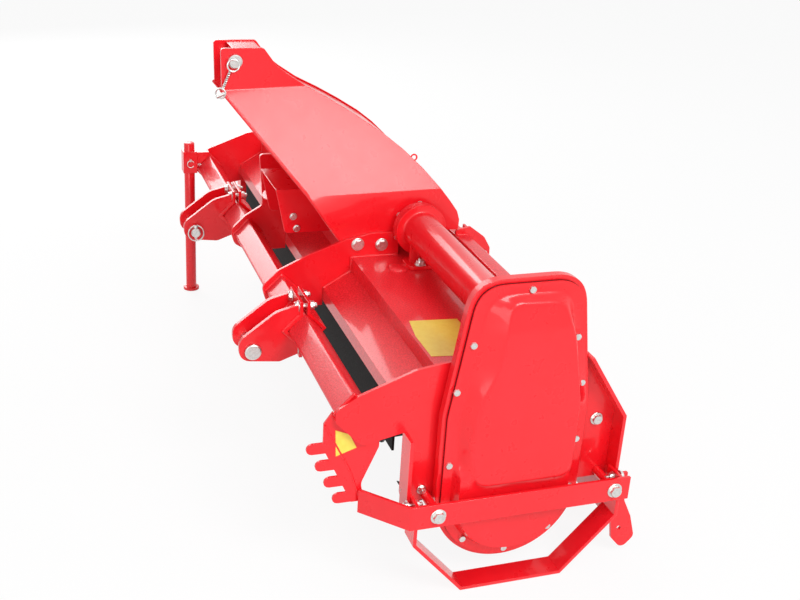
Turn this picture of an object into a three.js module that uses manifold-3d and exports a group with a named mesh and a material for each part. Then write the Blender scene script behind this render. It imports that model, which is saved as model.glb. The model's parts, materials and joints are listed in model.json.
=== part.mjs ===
// A rotavator for a tractor's three-point linkage, standing on its skids and its parking stand.
// Millimetres. +Z is up, -Y is towards the tractor, +X is the gear case side.
import * as THREE from "three";
import { mergeVertices } from "three/addons/utils/BufferGeometryUtils.js";
import Module from "manifold-3d";

const wasm = await Module();
wasm.setup();

// ---------------------------------------------------------------- driving dimensions
const GAP = 0.3; // between two pieces that touch
const ROUND = 24; // sides of a large circle
const SMALL_ROUND = 12; // sides of a pin or a bolt

const HALF_WIDTH = 880; // centre to the outer face of an end plate
const END_SHEET = 8; // end plate
const FLANGE_WIDTH = 60; // folded edge of an end plate
const INNER_X = HALF_WIDTH - END_SHEET;

const ROTOR_Y = 22;
const ROTOR_Z = 220;
const BLADE_RADIUS = 210;
const ROTOR_TUBE_RADIUS = 38;
const JOURNAL_RADIUS = 20;
const JOURNAL_PLAY = 0.4;
const ROTOR_END_GAP = 22; // rotor tube to end plate
const RING_COUNT = 8;
const RING_RADIUS = 92;
const RING_THICKNESS = 10;
const BLADES_PER_RING = 6;
const BLADE_WIDTH = 46;
const BLADE_THICKNESS = 8;
const BLADE_REACH = 52; // how far the bent tip runs along the rotor
const RING_END_GAP = 90; // end plate to the nearest ring
const RING_TWIST = 15; // degrees from one ring to the next
const RING_START = -15; // turn of the first ring, in steps that match the tube's sides

const HOOD_SHEET = 5;
const HOOD_TOP = 522;
const HOOD_STEP_Y = -153; // front of the raised deck
const HOOD_STEP = 38;
const LIP_Y = -228;
const LIP_TOP = 440;
const LIP_HEIGHT = 35;
const HOOD_REAR_Y = 185;
const HOOD_TAIL_Y = 280;
const HOOD_TAIL_Z = 365;
const HOOD_TAIL_BOTTOM = 318;

const BEAM = 40; // rear beam, square
const BEAM_WALL = 4;
const BEAM_Y = 160;

const BAR = 60; // front bar, square, standing on its edge
const BAR_WALL = 6;
const BAR_Y = -341;
const BAR_Z = 445;

const HITCH_X = 204; // inner face of a hitch plate
const HITCH_SHEET = 10;
const MAST_SHEET = 8;
const MAST_HEAD_X = 54; // outer face of the mast's head
const MAST_HEAD_BEND_Z = 938;
const MAST_FOOT_BEND_Z = 692;
const TOP_PIN_Y = -432;
const TOP_PIN_Z = 1008;
const TOP_PIN_RADIUS = 12.7;

const LINK_SPAN = 825; // between the centres of the lower link brackets
const LINK_PIN_Y = -468;
const LINK_PIN_Z = 398;
const LINK_PIN_RADIUS = 14;
const CHEEK_INNER = 33;
const CHEEK_SHEET = 12;
const CLAMP_SHEET = 8;
const CLAMP_HALF_WIDTH = 50;
const CLAMP_EAR = 36;
const PIN_PLAY = 0.3;
const PIN_HEAD = 9;

const DRIVE_Z = 602;
const DRIVE_Y = ROTOR_Y;
const TUBE_RADIUS = 48;
const TUBE_WALL = 5;
const FLANGE_X = HITCH_X + 36;
const FLANGE_THICKNESS = 15;
const FLANGE_RADIUS = 68;
const GEARBOX_HALF_X = 120;
const SHAFT_RADIUS = 17.4;
const SHAFT_END_Y = -245;

const CASE_HALF_LOW = 165; // gear case, half width at the rotor
const CASE_HALF_HIGH = 118; // gear case, half width near its top
const CASE_TOP = 733;
const CASE_TAPER_Z = 430;
const CASE_CORNER = 70;
const CASE_WALL = 10;
const CASE_OUTER_X = HALF_WIDTH + 32;
const CASE_NECK = 9; // the narrow part of the case, against the end plate
const CASE_STEP = 4; // the neck inside the cover's outline
const GASKET = 3;
const COVER_SHEET = 4;
const PAN_DEPTH = 30;

const SKID_SHEET = 8;
const SKID_INNER_X = HALF_WIDTH + 24;
const SKID_OUTER_X = HALF_WIDTH + 82;
const SKID_FRONT_Y = -218;
const SKID_REAR_Y = 286;
const SKID_SOLE_FRONT = -95;
const SKID_SOLE_REAR = 156;
const SKID_KNEE_Z = 140;
const SKID_TOP_Z = 246;

const STRAP_SHEET = 8;
const STRAP_HEIGHT = 58;
const STRAP_Z = 219;
const STRAP_TIP_Y = -316;

const STAND_X = 34 - HALF_WIDTH;
const STAND_RADIUS = 17.5;
const STAND_TOP = 534;
const STAND_PLAY = 0.7;
const SLEEVE_HALF = 23;
const SLEEVE_LOW = 432;
const SLEEVE_HIGH = 506;
const STAND_Y = BAR_Y - (BAR / 2) * Math.SQRT2 - GAP - SLEEVE_HALF;

const BRACKET_X = 177; // middle of a rear bracket
const BRACKET_HALF = 30;
const BRACKET_SHEET = 8;
const ROD_RADIUS = 8;
const HINGE_RADIUS = 8;
const HINGE_Y = 299;
const HINGE_Z = 322;
const BARREL_RADIUS = 15;
const BOARD_SHEET = 4;
const BOARD_END_GAP = 14;
const ROD_PIN_Y = 228;
const ROD_PIN_Z = 506;
const GUIDE_Y = 400; // where a rod passes through the board's guide
const GUIDE_Z = 190;

// ---------------------------------------------------------------- materials
const paint = new THREE.MeshStandardMaterial({ color: 0xd8141c, roughness: 0.3, metalness: 0.1 });
const zinc = new THREE.MeshStandardMaterial({ color: 0xc9ccd0, roughness: 0.35, metalness: 0.9 });
const black = new THREE.MeshStandardMaterial({ color: 0x141414, roughness: 0.55, metalness: 0.3 });
const steel = new THREE.MeshStandardMaterial({ color: 0x8f9296, roughness: 0.4, metalness: 0.9 });

// ---------------------------------------------------------------- outlines
// Points are [u, v] or [u, v, r], where r rounds that corner.
const ARC_STEPS = 5;

function rounded(points) {
  return points.flatMap(([u, v, r = 0], i) => {
    if (!r) return [[u, v]];
    const before = new THREE.Vector2(...points.at(i - 1)).sub({ x: u, y: v });
    const after = new THREE.Vector2(...points[(i + 1) % points.length]).sub({ x: u, y: v });
    const half = Math.abs(before.angleTo(after)) / 2;
    const shorter = Math.min(before.length(), after.length());
    const reach = Math.min(r / Math.tan(half), 0.48 * shorter);
    const radius = reach * Math.tan(half);
    const towards = before.clone().normalize().add(after.clone().normalize()).normalize();
    const centre = towards.multiplyScalar(radius / Math.sin(half)).add({ x: u, y: v });
    const from = before.clone().setLength(reach).add({ x: u, y: v }).sub(centre);
    const to = after.clone().setLength(reach).add({ x: u, y: v }).sub(centre);
    const sweep = Math.atan2(from.cross(to), from.dot(to));
    return Array.from({ length: ARC_STEPS + 1 }, (_, k) => {
      const p = from.clone().rotateAround({ x: 0, y: 0 }, (sweep * k) / ARC_STEPS).add(centre);
      return [p.x, p.y];
    });
  });
}

function circle(u, v, radius, sides = ROUND, start = 0) {
  return Array.from({ length: sides }, (_, i) => {
    const angle = start + (2 * Math.PI * i) / sides;
    return [u + radius * Math.cos(angle), v + radius * Math.sin(angle)];
  });
}

const box2 = (u0, u1, v0, v1) => [[u0, v0], [u1, v0], [u1, v1], [u0, v1]];

// The outline of a sheet of thickness t that follows a bent line and lies on the line's left.
function bentSheet(line, t) {
  const normals = line.slice(1).map(([u, v], i) => {
    const along = new THREE.Vector2(u - line[i][0], v - line[i][1]).normalize();
    return new THREE.Vector2(-along.y, along.x);
  });
  const offset = line.map(([u, v], i) => {
    const a = normals[Math.max(i - 1, 0)];
    const b = normals[Math.min(i, normals.length - 1)];
    const k = t / (1 + a.dot(b));
    return [u + k * (a.x + b.x), v + k * (a.y + b.y)];
  });
  return [...line, ...offset.reverse()];
}

// A square standing on its edge.
const diamond = (u, v, side) => circle(u, v, side / Math.SQRT2, 4);

// ---------------------------------------------------------------- solids
const X = new THREE.Vector3(1, 0, 0);
const Y = new THREE.Vector3(0, 1, 0);
const Z = new THREE.Vector3(0, 0, 1);
const PLANES = { X: [Y, Z, X], Y: [X, Z, Y.clone().negate()], Z: [X, Y, Z] };

function solid(geometry) {
  const bare = geometry.index ? geometry.toNonIndexed() : geometry.clone();
  bare.deleteAttribute("normal");
  bare.deleteAttribute("uv");
  const merged = mergeVertices(bare, 1e-4);
  const vertProperties = merged.attributes.position.array;
  const triVerts = new Uint32Array(merged.index.array);
  return new wasm.Manifold(new wasm.Mesh({ numProp: 3, vertProperties, triVerts }));
}

// An outline in (y, z), (x, z) or (x, y), pushed along the X, Y or Z axis from one place to another.
function prism(axis, points, from, to, holes = []) {
  const shape = new THREE.Shape(rounded(points).map(([u, v]) => new THREE.Vector2(u, v)));
  shape.holes = holes.map((hole) => new THREE.Path(rounded(hole).map(([u, v]) => new THREE.Vector2(u, v))));
  const geometry = new THREE.ExtrudeGeometry(shape, { depth: to - from, bevelEnabled: false });
  geometry.applyMatrix4(new THREE.Matrix4().makeBasis(...PLANES[axis]));
  const start = { X: [from, 0, 0], Y: [0, to, 0], Z: [0, 0, from] }[axis];
  geometry.translate(...start);
  return solid(geometry);
}

const rod = (axis, u, v, radius, from, to, sides = SMALL_ROUND) =>
  prism(axis, circle(u, v, radius, sides), from, to);

const join = (...solids) => solids.reduce((whole, next) => whole.add(next));

function mesh(name, shape, material) {
  const { numProp, vertProperties, triVerts, numVert } = shape.getMesh();
  const position = new Float32Array(numVert * 3);
  for (let i = 0; i < numVert; i++) {
    position.set(vertProperties.subarray(i * numProp, i * numProp + 3), i * 3);
  }
  const geometry = new THREE.BufferGeometry();
  geometry.setAttribute("position", new THREE.BufferAttribute(position, 3));
  geometry.setIndex(new THREE.BufferAttribute(triVerts, 1));
  geometry.computeVertexNormals();
  const made = new THREE.Mesh(geometry, material);
  made.name = name;
  return made;
}

// Both ends of the machine: the piece on the +X side and its mirror image.
const bothSides = (make) => [["left", 1], ["right", -1]].flatMap(([side, sign]) => make(side, sign));
// A prism along X given by distances from the middle, on the side that sign says.
const between = (sign, near, far) => (sign > 0 ? [near, far] : [-far, -near]);
const sidePrism = (sign, points, near, far, holes = []) =>
  prism("X", points, ...between(sign, near, far), holes);
const mirrored = (points, sign) => points.map(([u, v]) => [sign * u, v]);

// ---------------------------------------------------------------- hood and beams
const HOOD_LINE = [
  [LIP_Y, LIP_TOP - LIP_HEIGHT],
  [LIP_Y, LIP_TOP],
  [HOOD_STEP_Y, HOOD_TOP - HOOD_STEP],
  [HOOD_STEP_Y, HOOD_TOP],
  [HOOD_REAR_Y, HOOD_TOP],
  [HOOD_TAIL_Y, HOOD_TAIL_Z],
  [HOOD_TAIL_Y, HOOD_TAIL_BOTTOM],
];

// Everything above the hood's outer surface, which trims the plates that stand on it.
function aboveHood(points, from, to) {
  const under = [
    [LIP_Y - GAP, 0],
    [LIP_Y - GAP, LIP_TOP + GAP],
    [HOOD_STEP_Y - GAP, HOOD_TOP - HOOD_STEP + GAP],
    [HOOD_STEP_Y - GAP, HOOD_TOP + GAP],
    [HOOD_REAR_Y + GAP, HOOD_TOP + GAP],
    [HOOD_TAIL_Y + GAP, HOOD_TAIL_Z + GAP],
    [HOOD_TAIL_Y + GAP, 0],
  ];
  return prism("X", points, from, to).subtract(prism("X", under, from - 1, to + 1));
}

function hingeLugs(positions, width) {
  return positions.map((x) => {
    const outline = [
      [HOOD_TAIL_Y - HOOD_SHEET, HOOD_TAIL_BOTTOM + 30],
      [HINGE_Y, HINGE_Z + BARREL_RADIUS, 6],
      [HINGE_Y + BARREL_RADIUS, HINGE_Z + 4, 6],
      [HINGE_Y + BARREL_RADIUS, HINGE_Z - BARREL_RADIUS, 9],
      [HOOD_TAIL_Y - HOOD_SHEET, HOOD_TAIL_BOTTOM],
    ];
    const hole = circle(HINGE_Y, HINGE_Z, HINGE_RADIUS + PIN_PLAY, SMALL_ROUND);
    return prism("X", outline, x - width / 2, x + width / 2, [hole]);
  });
}

const HINGE_LUG_WIDTH = 12;
const BOARD_HALF = INNER_X - BOARD_END_GAP;
const HINGE_LUGS = [-1, -0.5, 0, 0.5, 1].map((share) => share * (BOARD_HALF - 60));

function hood() {
  const sheet = prism("X", bentSheet(HOOD_LINE, -HOOD_SHEET), -INNER_X + GAP, INNER_X - GAP);
  return mesh("hood", join(sheet, ...hingeLugs(HINGE_LUGS, HINGE_LUG_WIDTH)), paint);
}

const FLAP_HALF = INNER_X - 72;
const FLAP_SHEET = 6;
const FLAP_BOTTOM = 290;
const FLAP_TOP = LIP_TOP - 15;

// The rubber strip that hangs behind the hood's front lip.
function frontFlap() {
  const front = LIP_Y + HOOD_SHEET + GAP;
  const outline = box2(front, front + FLAP_SHEET, FLAP_BOTTOM, FLAP_TOP);
  return mesh("front_flap", prism("X", outline, -FLAP_HALF, FLAP_HALF), black);
}

function squareTube(name, outer, inner) {
  return mesh(name, prism("X", outer, -INNER_X + GAP, INNER_X - GAP, [inner]), paint);
}

const frontBar = () =>
  squareTube("front_bar", diamond(BAR_Y, BAR_Z, BAR), diamond(BAR_Y, BAR_Z, BAR - 2 * BAR_WALL));

const BEAM_LOW = HOOD_TOP + GAP;
const BEAM_HIGH = BEAM_LOW + BEAM;
const beamOutline = (inset) =>
  box2(BEAM_Y - BEAM / 2 + inset, BEAM_Y + BEAM / 2 - inset, BEAM_LOW + inset, BEAM_HIGH - inset);
const rearBeam = () => squareTube("rear_beam", beamOutline(0), beamOutline(BEAM_WALL));

// ---------------------------------------------------------------- end plates, skids, guards
function caseOutline(grow) {
  const low = CASE_HALF_LOW + grow;
  const high = CASE_HALF_HIGH + grow;
  const top = CASE_TOP + grow;
  const arc = Array.from({ length: 13 }, (_, i) => {
    const angle = Math.PI + (Math.PI * i) / 12;
    return [ROTOR_Y + low * Math.cos(angle), ROTOR_Z + low * Math.sin(angle)];
  });
  return [
    ...arc,
    [ROTOR_Y + low, CASE_TAPER_Z, 60],
    [ROTOR_Y + high, top, CASE_CORNER + grow],
    [ROTOR_Y - high, top, CASE_CORNER + grow],
    [ROTOR_Y - low, CASE_TAPER_Z, 60],
  ];
}

const PLATE_FRONT_Y = SKID_FRONT_Y - GAP - END_SHEET; // front face of the front flange
const PLATE_REAR_Y = SKID_REAR_Y + GAP + END_SHEET; // rear face of the rear flange
const PLATE_BOTTOM = 204;
const FLANGE_BOTTOM = 172;
const CASE_FRONT_Y = -145;
const WING_LIFT = { left: 0, right: 18 };
const REAR_TOP = 590;
const REAR_TOP_Y = 160;
const REAR_KNEE_Z = 385;

const endOutline = (lift) => [
  [BAR_Y - 41, BAR_Z - 16, 14],
  [BAR_Y - 40, BAR_Z + 10 + lift / 2, 18],
  [BAR_Y + 6, BAR_Z + 39 + lift, 30],
  [PLATE_FRONT_Y + 20, HOOD_TOP + 11 + lift, 30],
  [CASE_FRONT_Y, HOOD_TOP + 20 + lift],
  [REAR_TOP_Y, REAR_TOP, 20],
  [PLATE_REAR_Y, REAR_KNEE_Z, 12],
  [PLATE_REAR_Y, PLATE_BOTTOM, 6],
  [PLATE_FRONT_Y + 6, PLATE_BOTTOM, 40],
  [PLATE_FRONT_Y, PLATE_BOTTOM + 26],
  [PLATE_FRONT_Y, BAR_Z - 61],
  [BAR_Y + 20, BAR_Z - 82, 28],
];

// Half the gear case's width at a height.
function caseHalf(z) {
  const share = Math.max(0, (z - CASE_TAPER_Z) / (CASE_TOP - CASE_TAPER_Z));
  return THREE.MathUtils.lerp(CASE_HALF_LOW, CASE_HALF_HIGH, share);
}

function endPlate(side, sign) {
  const far = HALF_WIDTH + FLANGE_WIDTH;
  const sheet = sidePrism(sign, endOutline(WING_LIFT[side]), INNER_X, HALF_WIDTH);
  const frontFlange = box2(PLATE_FRONT_Y, PLATE_FRONT_Y + END_SHEET, FLANGE_BOTTOM, BAR_Z - 61);
  const flangeEnd = ROTOR_Y + caseHalf(REAR_TOP - 30) + CASE_WALL + 14;
  const share = (PLATE_REAR_Y - flangeEnd) / (PLATE_REAR_Y - REAR_TOP_Y);
  const rearLine = [
    [PLATE_REAR_Y, FLANGE_BOTTOM],
    [PLATE_REAR_Y, REAR_KNEE_Z],
    [flangeEnd, THREE.MathUtils.lerp(REAR_KNEE_Z, REAR_TOP, share)],
  ];
  const rearFlange = bentSheet(rearLine, END_SHEET);
  const bore = sidePrism(sign, circle(ROTOR_Y, ROTOR_Z, JOURNAL_RADIUS + JOURNAL_PLAY), 0, far);
  let plate = join(
    sheet,
    sidePrism(sign, frontFlange, HALF_WIDTH - 1, far - 15),
    sidePrism(sign, rearFlange, HALF_WIDTH - 1, far - 15),
  );
  if (sign > 0) plate = plate.add(prism("X", caseOutline(-CASE_STEP), INNER_X, HALF_WIDTH));
  return mesh("end_plate_" + side, plate.subtract(bore), paint);
}

function skid(side, sign) {
  const line = [
    [SKID_FRONT_Y, SKID_TOP_Z],
    [SKID_FRONT_Y, SKID_KNEE_Z],
    [SKID_SOLE_FRONT, 0],
    [SKID_SOLE_REAR, 0],
    [SKID_REAR_Y, SKID_KNEE_Z],
    [SKID_REAR_Y, SKID_TOP_Z],
  ];
  const runner = sidePrism(sign, bentSheet(line, SKID_SHEET), SKID_INNER_X, SKID_OUTER_X);
  return mesh("skid_" + side, runner, paint);
}

const STRAP_X = SKID_OUTER_X + GAP;
const STRAP_REAR_Y = SKID_REAR_Y + 16;
const SPACER_RADIUS = 11;
const STRAP_BOLTS = [SKID_FRONT_Y + 50, SKID_REAR_Y - 15 - SKID_SHEET];

function strapGuard() {
  const line = [
    [STRAP_X, STRAP_REAR_Y],
    [STRAP_X, PLATE_FRONT_Y - 2],
    [COMB_X + COMB_SHEET + GAP + 2, STRAP_TIP_Y],
  ];
  const half = STRAP_HEIGHT / 2;
  const strap = prism("Z", bentSheet(line, STRAP_SHEET), STRAP_Z - half, STRAP_Z + half);
  const spacers = STRAP_BOLTS.map((y) => rod("X", y, STRAP_Z, SPACER_RADIUS, HALF_WIDTH + GAP, STRAP_X + 2));
  return mesh("strap_guard", join(strap, ...spacers), paint);
}

const COMB_X = INNER_X - 12;
const COMB_SHEET = 6;
const COMB_FRONT_Y = BAR_Y - 62;
const COMB_RAKE = 0.47; // how far the front edge runs back for each millimetre down
const FINGER_COUNT = 4;
const FINGER_RADIUS = 13;
const FINGER_PITCH = 44;
const FINGER_REACH = 37;
const FINGER_TOP_Z = 360;

// The guard behind the front bar's end: a raking plate with round fingers along its front edge.
function combGuard() {
  const edge = (z) => COMB_FRONT_Y + COMB_RAKE * (FINGER_TOP_Z - z);
  const bottom = STRAP_Z - 5;
  const outline = [
    [COMB_FRONT_Y, BAR_Z - 25],
    [COMB_FRONT_Y, FINGER_TOP_Z],
    [edge(bottom), bottom],
    [STRAP_TIP_Y + 12, bottom, 6],
    [STRAP_TIP_Y + 2, STRAP_Z + 40, 30],
    [PLATE_FRONT_Y - 50, BAR_Z - 97, 20],
    [PLATE_FRONT_Y - 50, BAR_Z - 55],
    [BAR_Y + 6, BAR_Z - 45],
    [BAR_Y - 43, BAR_Z + 2],
  ];
  const far = COMB_X + COMB_SHEET;
  const fingers = Array.from({ length: FINGER_COUNT }, (_, i) => {
    const z = FINGER_TOP_Z - FINGER_PITCH * i;
    const tip = edge(z) - FINGER_REACH + FINGER_RADIUS;
    const stem = box2(tip, edge(z) + 2 * FINGER_RADIUS, z - FINGER_RADIUS, z + FINGER_RADIUS);
    return join(prism("X", stem, COMB_X, far), rod("X", tip, z, FINGER_RADIUS, COMB_X, far));
  });
  const plate = prism("X", outline, COMB_X, far);
  const barSpace = prism("X", diamond(BAR_Y, BAR_Z, DIAMOND_PLAY), COMB_X - 1, far + 1);
  return mesh("comb_guard", join(plate, ...fingers).subtract(barSpace), paint);
}

// A hanging tongue bolted behind the left plate's rear flange.
function boardStop() {
  const near = PLATE_REAR_Y + GAP;
  const outline = [
    [near, STRAP_Z + 10],
    [near, 112],
    [near + 10, 48, 10],
    [near + 42, 12, 16],
    [near + 72, 44, 16],
    [near + 54, 104, 30],
    [near + 30, 152, 20],
    [near + 28, STRAP_Z + 10],
  ];
  const hole = circle(near + 27, 74, 6, SMALL_ROUND);
  return mesh("board_stop", prism("X", outline, HALF_WIDTH + 36, HALF_WIDTH + 44, [hole]), paint);
}

// ---------------------------------------------------------------- gear case
// A neck against the end plate, then a wider rim that carries the cover.
function gearCaseHousing() {
  const shoulder = HALF_WIDTH + CASE_NECK;
  const hole = caseOutline(-CASE_STEP - CASE_WALL);
  const neck = prism("X", caseOutline(-CASE_STEP), HALF_WIDTH + GAP, shoulder + 1, [hole]);
  const rim = prism("X", caseOutline(CASE_WALL), shoulder, CASE_OUTER_X, [hole]);
  return mesh("gear_case_housing", join(neck, rim), paint);
}

function gearCaseGasket() {
  const x = CASE_OUTER_X + GAP;
  return mesh("gear_case_gasket", prism("X", caseOutline(0), x, x + GASKET, [caseOutline(-14)]), black);
}

const COVER_X = CASE_OUTER_X + 2 * GAP + GASKET;

// A closed body between two outlines of the same number of points, at two places along X.
function loft(first, firstX, second, secondX) {
  const count = first.length;
  const at = (outline, x, i) => [x, ...outline[i % count]];
  const vectors = (outline) => outline.map(([u, v]) => new THREE.Vector2(u, v));
  const cap = (outline) => THREE.ShapeUtils.triangulateShape(vectors(outline), []);
  const corners = [];
  for (let i = 0; i < count; i++) {
    corners.push(at(first, firstX, i), at(first, firstX, i + 1), at(second, secondX, i + 1));
    corners.push(at(first, firstX, i), at(second, secondX, i + 1), at(second, secondX, i));
  }
  cap(first).forEach(([a, b, c]) => corners.push(...[c, b, a].map((i) => at(first, firstX, i))));
  cap(second).forEach(([a, b, c]) => corners.push(...[a, b, c].map((i) => at(second, secondX, i))));
  const geometry = new THREE.BufferGeometry();
  geometry.setAttribute("position", new THREE.BufferAttribute(new Float32Array(corners.flat()), 3));
  return solid(geometry);
}

const PAN_INSET = { front: 46, rear: 24, top: 30 };

// The pressed dish of the cover, drawn in further at its front than at its rear.
function panOutline(inset, shrink) {
  return rounded(caseOutline(-inset)).map(([y, z]) => {
    const side = y < ROTOR_Y ? PAN_INSET.front : PAN_INSET.rear;
    const share = Math.min(1, Math.abs(y - ROTOR_Y) / CASE_HALF_HIGH);
    const lift = z > CASE_TAPER_Z ? PAN_INSET.top * ((z - CASE_TAPER_Z) / (CASE_TOP - CASE_TAPER_Z)) : -18;
    return [y - shrink * share * side * Math.sign(y - ROTOR_Y), z - shrink * lift];
  });
}

function gearCaseCover() {
  const back = COVER_X;
  const face = COVER_X + COVER_SHEET;
  const pan = loft(panOutline(22, 0), back, panOutline(22, 1), face + PAN_DEPTH);
  const hollow = loft(
    panOutline(22 + COVER_SHEET, 0),
    back - 1,
    panOutline(22 + COVER_SHEET, 1),
    face + PAN_DEPTH - COVER_SHEET,
  );
  const rim = prism("X", caseOutline(0), back, face);
  return mesh("gear_case_cover", join(rim, pan).subtract(hollow), paint);
}

function bearingHousing() {
  const face = HALF_WIDTH + GAP;
  const flange = sidePrism(-1, circle(ROTOR_Y, ROTOR_Z, 62), face, face + 12);
  const cap = sidePrism(-1, circle(ROTOR_Y, ROTOR_Z, 46), face + 11, face + 34);
  const bore = sidePrism(-1, circle(ROTOR_Y, ROTOR_Z, JOURNAL_RADIUS + JOURNAL_PLAY), 0, HALF_WIDTH + 24);
  return mesh("bearing_housing", join(flange, cap).subtract(bore), paint);
}

// ---------------------------------------------------------------- hitch frame and mast
const DIAMOND_PLAY = BAR + 2 * GAP;
const HITCH_TOP = MAST_FOOT_BEND_Z - 10; // top of the plate that rises to the mast

function hitchPlate(side, sign) {
  const rise = sign > 0
    ? [[BAR_Y + 75, BAR_Z + 93, 60], [-170, 572, 60], [-100, 586], [-24, 586, 6]]
    : [[BAR_Y + 44, BAR_Z + 85, 20], [BAR_Y + 32, HITCH_TOP, 10], [-24, HITCH_TOP, 6]];
  const outline = [
    [BAR_Y - 40, BAR_Z - 30, 24],
    [BAR_Y - 52, BAR_Z + 12, 26],
    [BAR_Y - 8, BAR_Z + 54, 30],
    ...rise,
    [-24, BAR_Z - 50],
    [BAR_Y, BAR_Z - 56, 40],
  ];
  const from = HITCH_X + GAP;
  const to = from + HITCH_SHEET;
  const plate = aboveHood(outline, ...between(sign, from, to));
  const slot = sidePrism(sign, diamond(BAR_Y, BAR_Z, DIAMOND_PLAY), from - 1, to + 1);
  const access = sidePrism(sign, circle(-285, 560, 15, SMALL_ROUND), from - 1, to + 1);
  const trumpet = sidePrism(sign, circle(DRIVE_Y, DRIVE_Z, TRUMPET_RADIUS + GAP), from - 1, to + 1);
  const shaped = plate.subtract(slot).subtract(trumpet);
  return mesh("hitch_plate_" + side, sign > 0 ? shaped : shaped.subtract(access), paint);
}

const MAST_HEAD_TOP = 1040;
const MAST_FRONT_Y = -465;
const MAST_BACK_STEPS = 10;
const MAST_WEB_INSET = 4;
const MAST_WEB_SHEET = 5;

// The mast's curved back, from its head down to its foot, moved inwards by an inset.
function mastBack(inset) {
  const through = [[-326, 997], [-268, 954], [-166, 899], [-53, 829], [30, 761], [100, 684], [141, 630]];
  const curve = new THREE.SplineCurve(through.map(([y, z]) => new THREE.Vector2(y, z)));
  return Array.from({ length: MAST_BACK_STEPS + 1 }, (_, i) => {
    const p = curve.getPoint(i / MAST_BACK_STEPS);
    const t = curve.getTangent(i / MAST_BACK_STEPS);
    return [p.x + inset * t.y, p.y - inset * t.x];
  });
}

const MAST_PROFILE = [
  [MAST_FRONT_Y, MAST_HEAD_BEND_Z - 4, 6],
  [MAST_FRONT_Y - 2, MAST_HEAD_TOP, 8],
  [-358, MAST_HEAD_TOP, 12],
  ...mastBack(0),
  [149, 606, 8],
  [148, 578, 6],
  [DRIVE_Y - 46, 578],
  [DRIVE_Y - 46, HOOD_TOP + 12],
  [-150, HOOD_TOP + 12, 6],
  [-186, 572],
  [-270, MAST_FOOT_BEND_Z],
];
const MAST_SECTION = [
  [MAST_HEAD_X, MAST_HEAD_TOP + 5],
  [MAST_HEAD_X, MAST_HEAD_BEND_Z],
  [HITCH_X, MAST_FOOT_BEND_Z],
  [HITCH_X, HOOD_TOP],
];

function mastPlate(side, sign) {
  const profile = sidePrism(sign, MAST_PROFILE, 0, HITCH_X + 60);
  const section = bentSheet(mirrored(MAST_SECTION, sign), -sign * MAST_SHEET);
  const sheet = prism("Y", section, MAST_FRONT_Y - 20, 200);
  const pinHole = sidePrism(sign, circle(TOP_PIN_Y, TOP_PIN_Z, TOP_PIN_RADIUS + PIN_PLAY), 0, HITCH_X);
  const trumpet = sidePrism(sign, circle(DRIVE_Y, DRIVE_Z, TRUMPET_RADIUS + GAP), HITCH_X - 30, HITCH_X + 30);
  return mesh("mast_plate_" + side, profile.intersect(sheet).subtract(pinHole).subtract(trumpet), paint);
}

// The sheet that closes the back of the mast between its two plates, up over the head.
function mastWeb() {
  const top = MAST_HEAD_TOP - 3;
  const line = [[MAST_FRONT_Y + 30, top], [-364, top], ...mastBack(MAST_WEB_INSET).slice(0, -2)];
  const half = bentSheet(MAST_SECTION, -MAST_SHEET - GAP).slice(MAST_SECTION.length).reverse();
  const inside = [...half, ...mirrored(half, -1).reverse()];
  const web = prism("X", bentSheet(line, -MAST_WEB_SHEET), -HITCH_X, HITCH_X);
  return mesh("mast_web", web.intersect(prism("Y", inside, MAST_FRONT_Y, 200)), paint);
}

function topLinkPin() {
  const reach = MAST_HEAD_X + 14;
  const shank = rod("X", TOP_PIN_Y, TOP_PIN_Z, TOP_PIN_RADIUS, -reach, MAST_HEAD_X + 2 * GAP);
  const head = rod("X", TOP_PIN_Y, TOP_PIN_Z, TOP_PIN_RADIUS + 5, MAST_HEAD_X + GAP, reach, 16);
  return mesh("top_link_pin", join(shank, head), zinc);
}

// The guard over the input shaft: a tunnel open at the front and below.
function shaftShield() {
  const half = SHIELD_HALF;
  const section = [[-half, 553], [-half, SHIELD_TOP], [half, SHIELD_TOP], [half, 553]];
  const tunnel = prism("Y", bentSheet(section, -SHIELD_SHEET), MAST_FRONT_Y, GEARBOX_FRONT - GAP);
  const profile = [
    [-346, 750, 12],
    [-304, 553, 12],
    [GEARBOX_FRONT, 553],
    [GEARBOX_FRONT, 750],
  ];
  return mesh("shaft_shield", tunnel.intersect(prism("X", profile, -HITCH_X, HITCH_X)), paint);
}

// ---------------------------------------------------------------- lower link brackets
const EAR_GAP = 5;

function clampLine(sign) {
  const reach = (BAR / 2) * Math.SQRT2 + GAP;
  const near = BAR_Y + sign * EAR_GAP;
  const corner = reach - EAR_GAP;
  return [
    [near, BAR_Z + corner + CLAMP_EAR],
    [near, BAR_Z + corner],
    [BAR_Y + sign * reach, BAR_Z],
    [near, BAR_Z - corner],
    [near, BAR_Z - corner - CLAMP_EAR],
  ];
}

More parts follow.
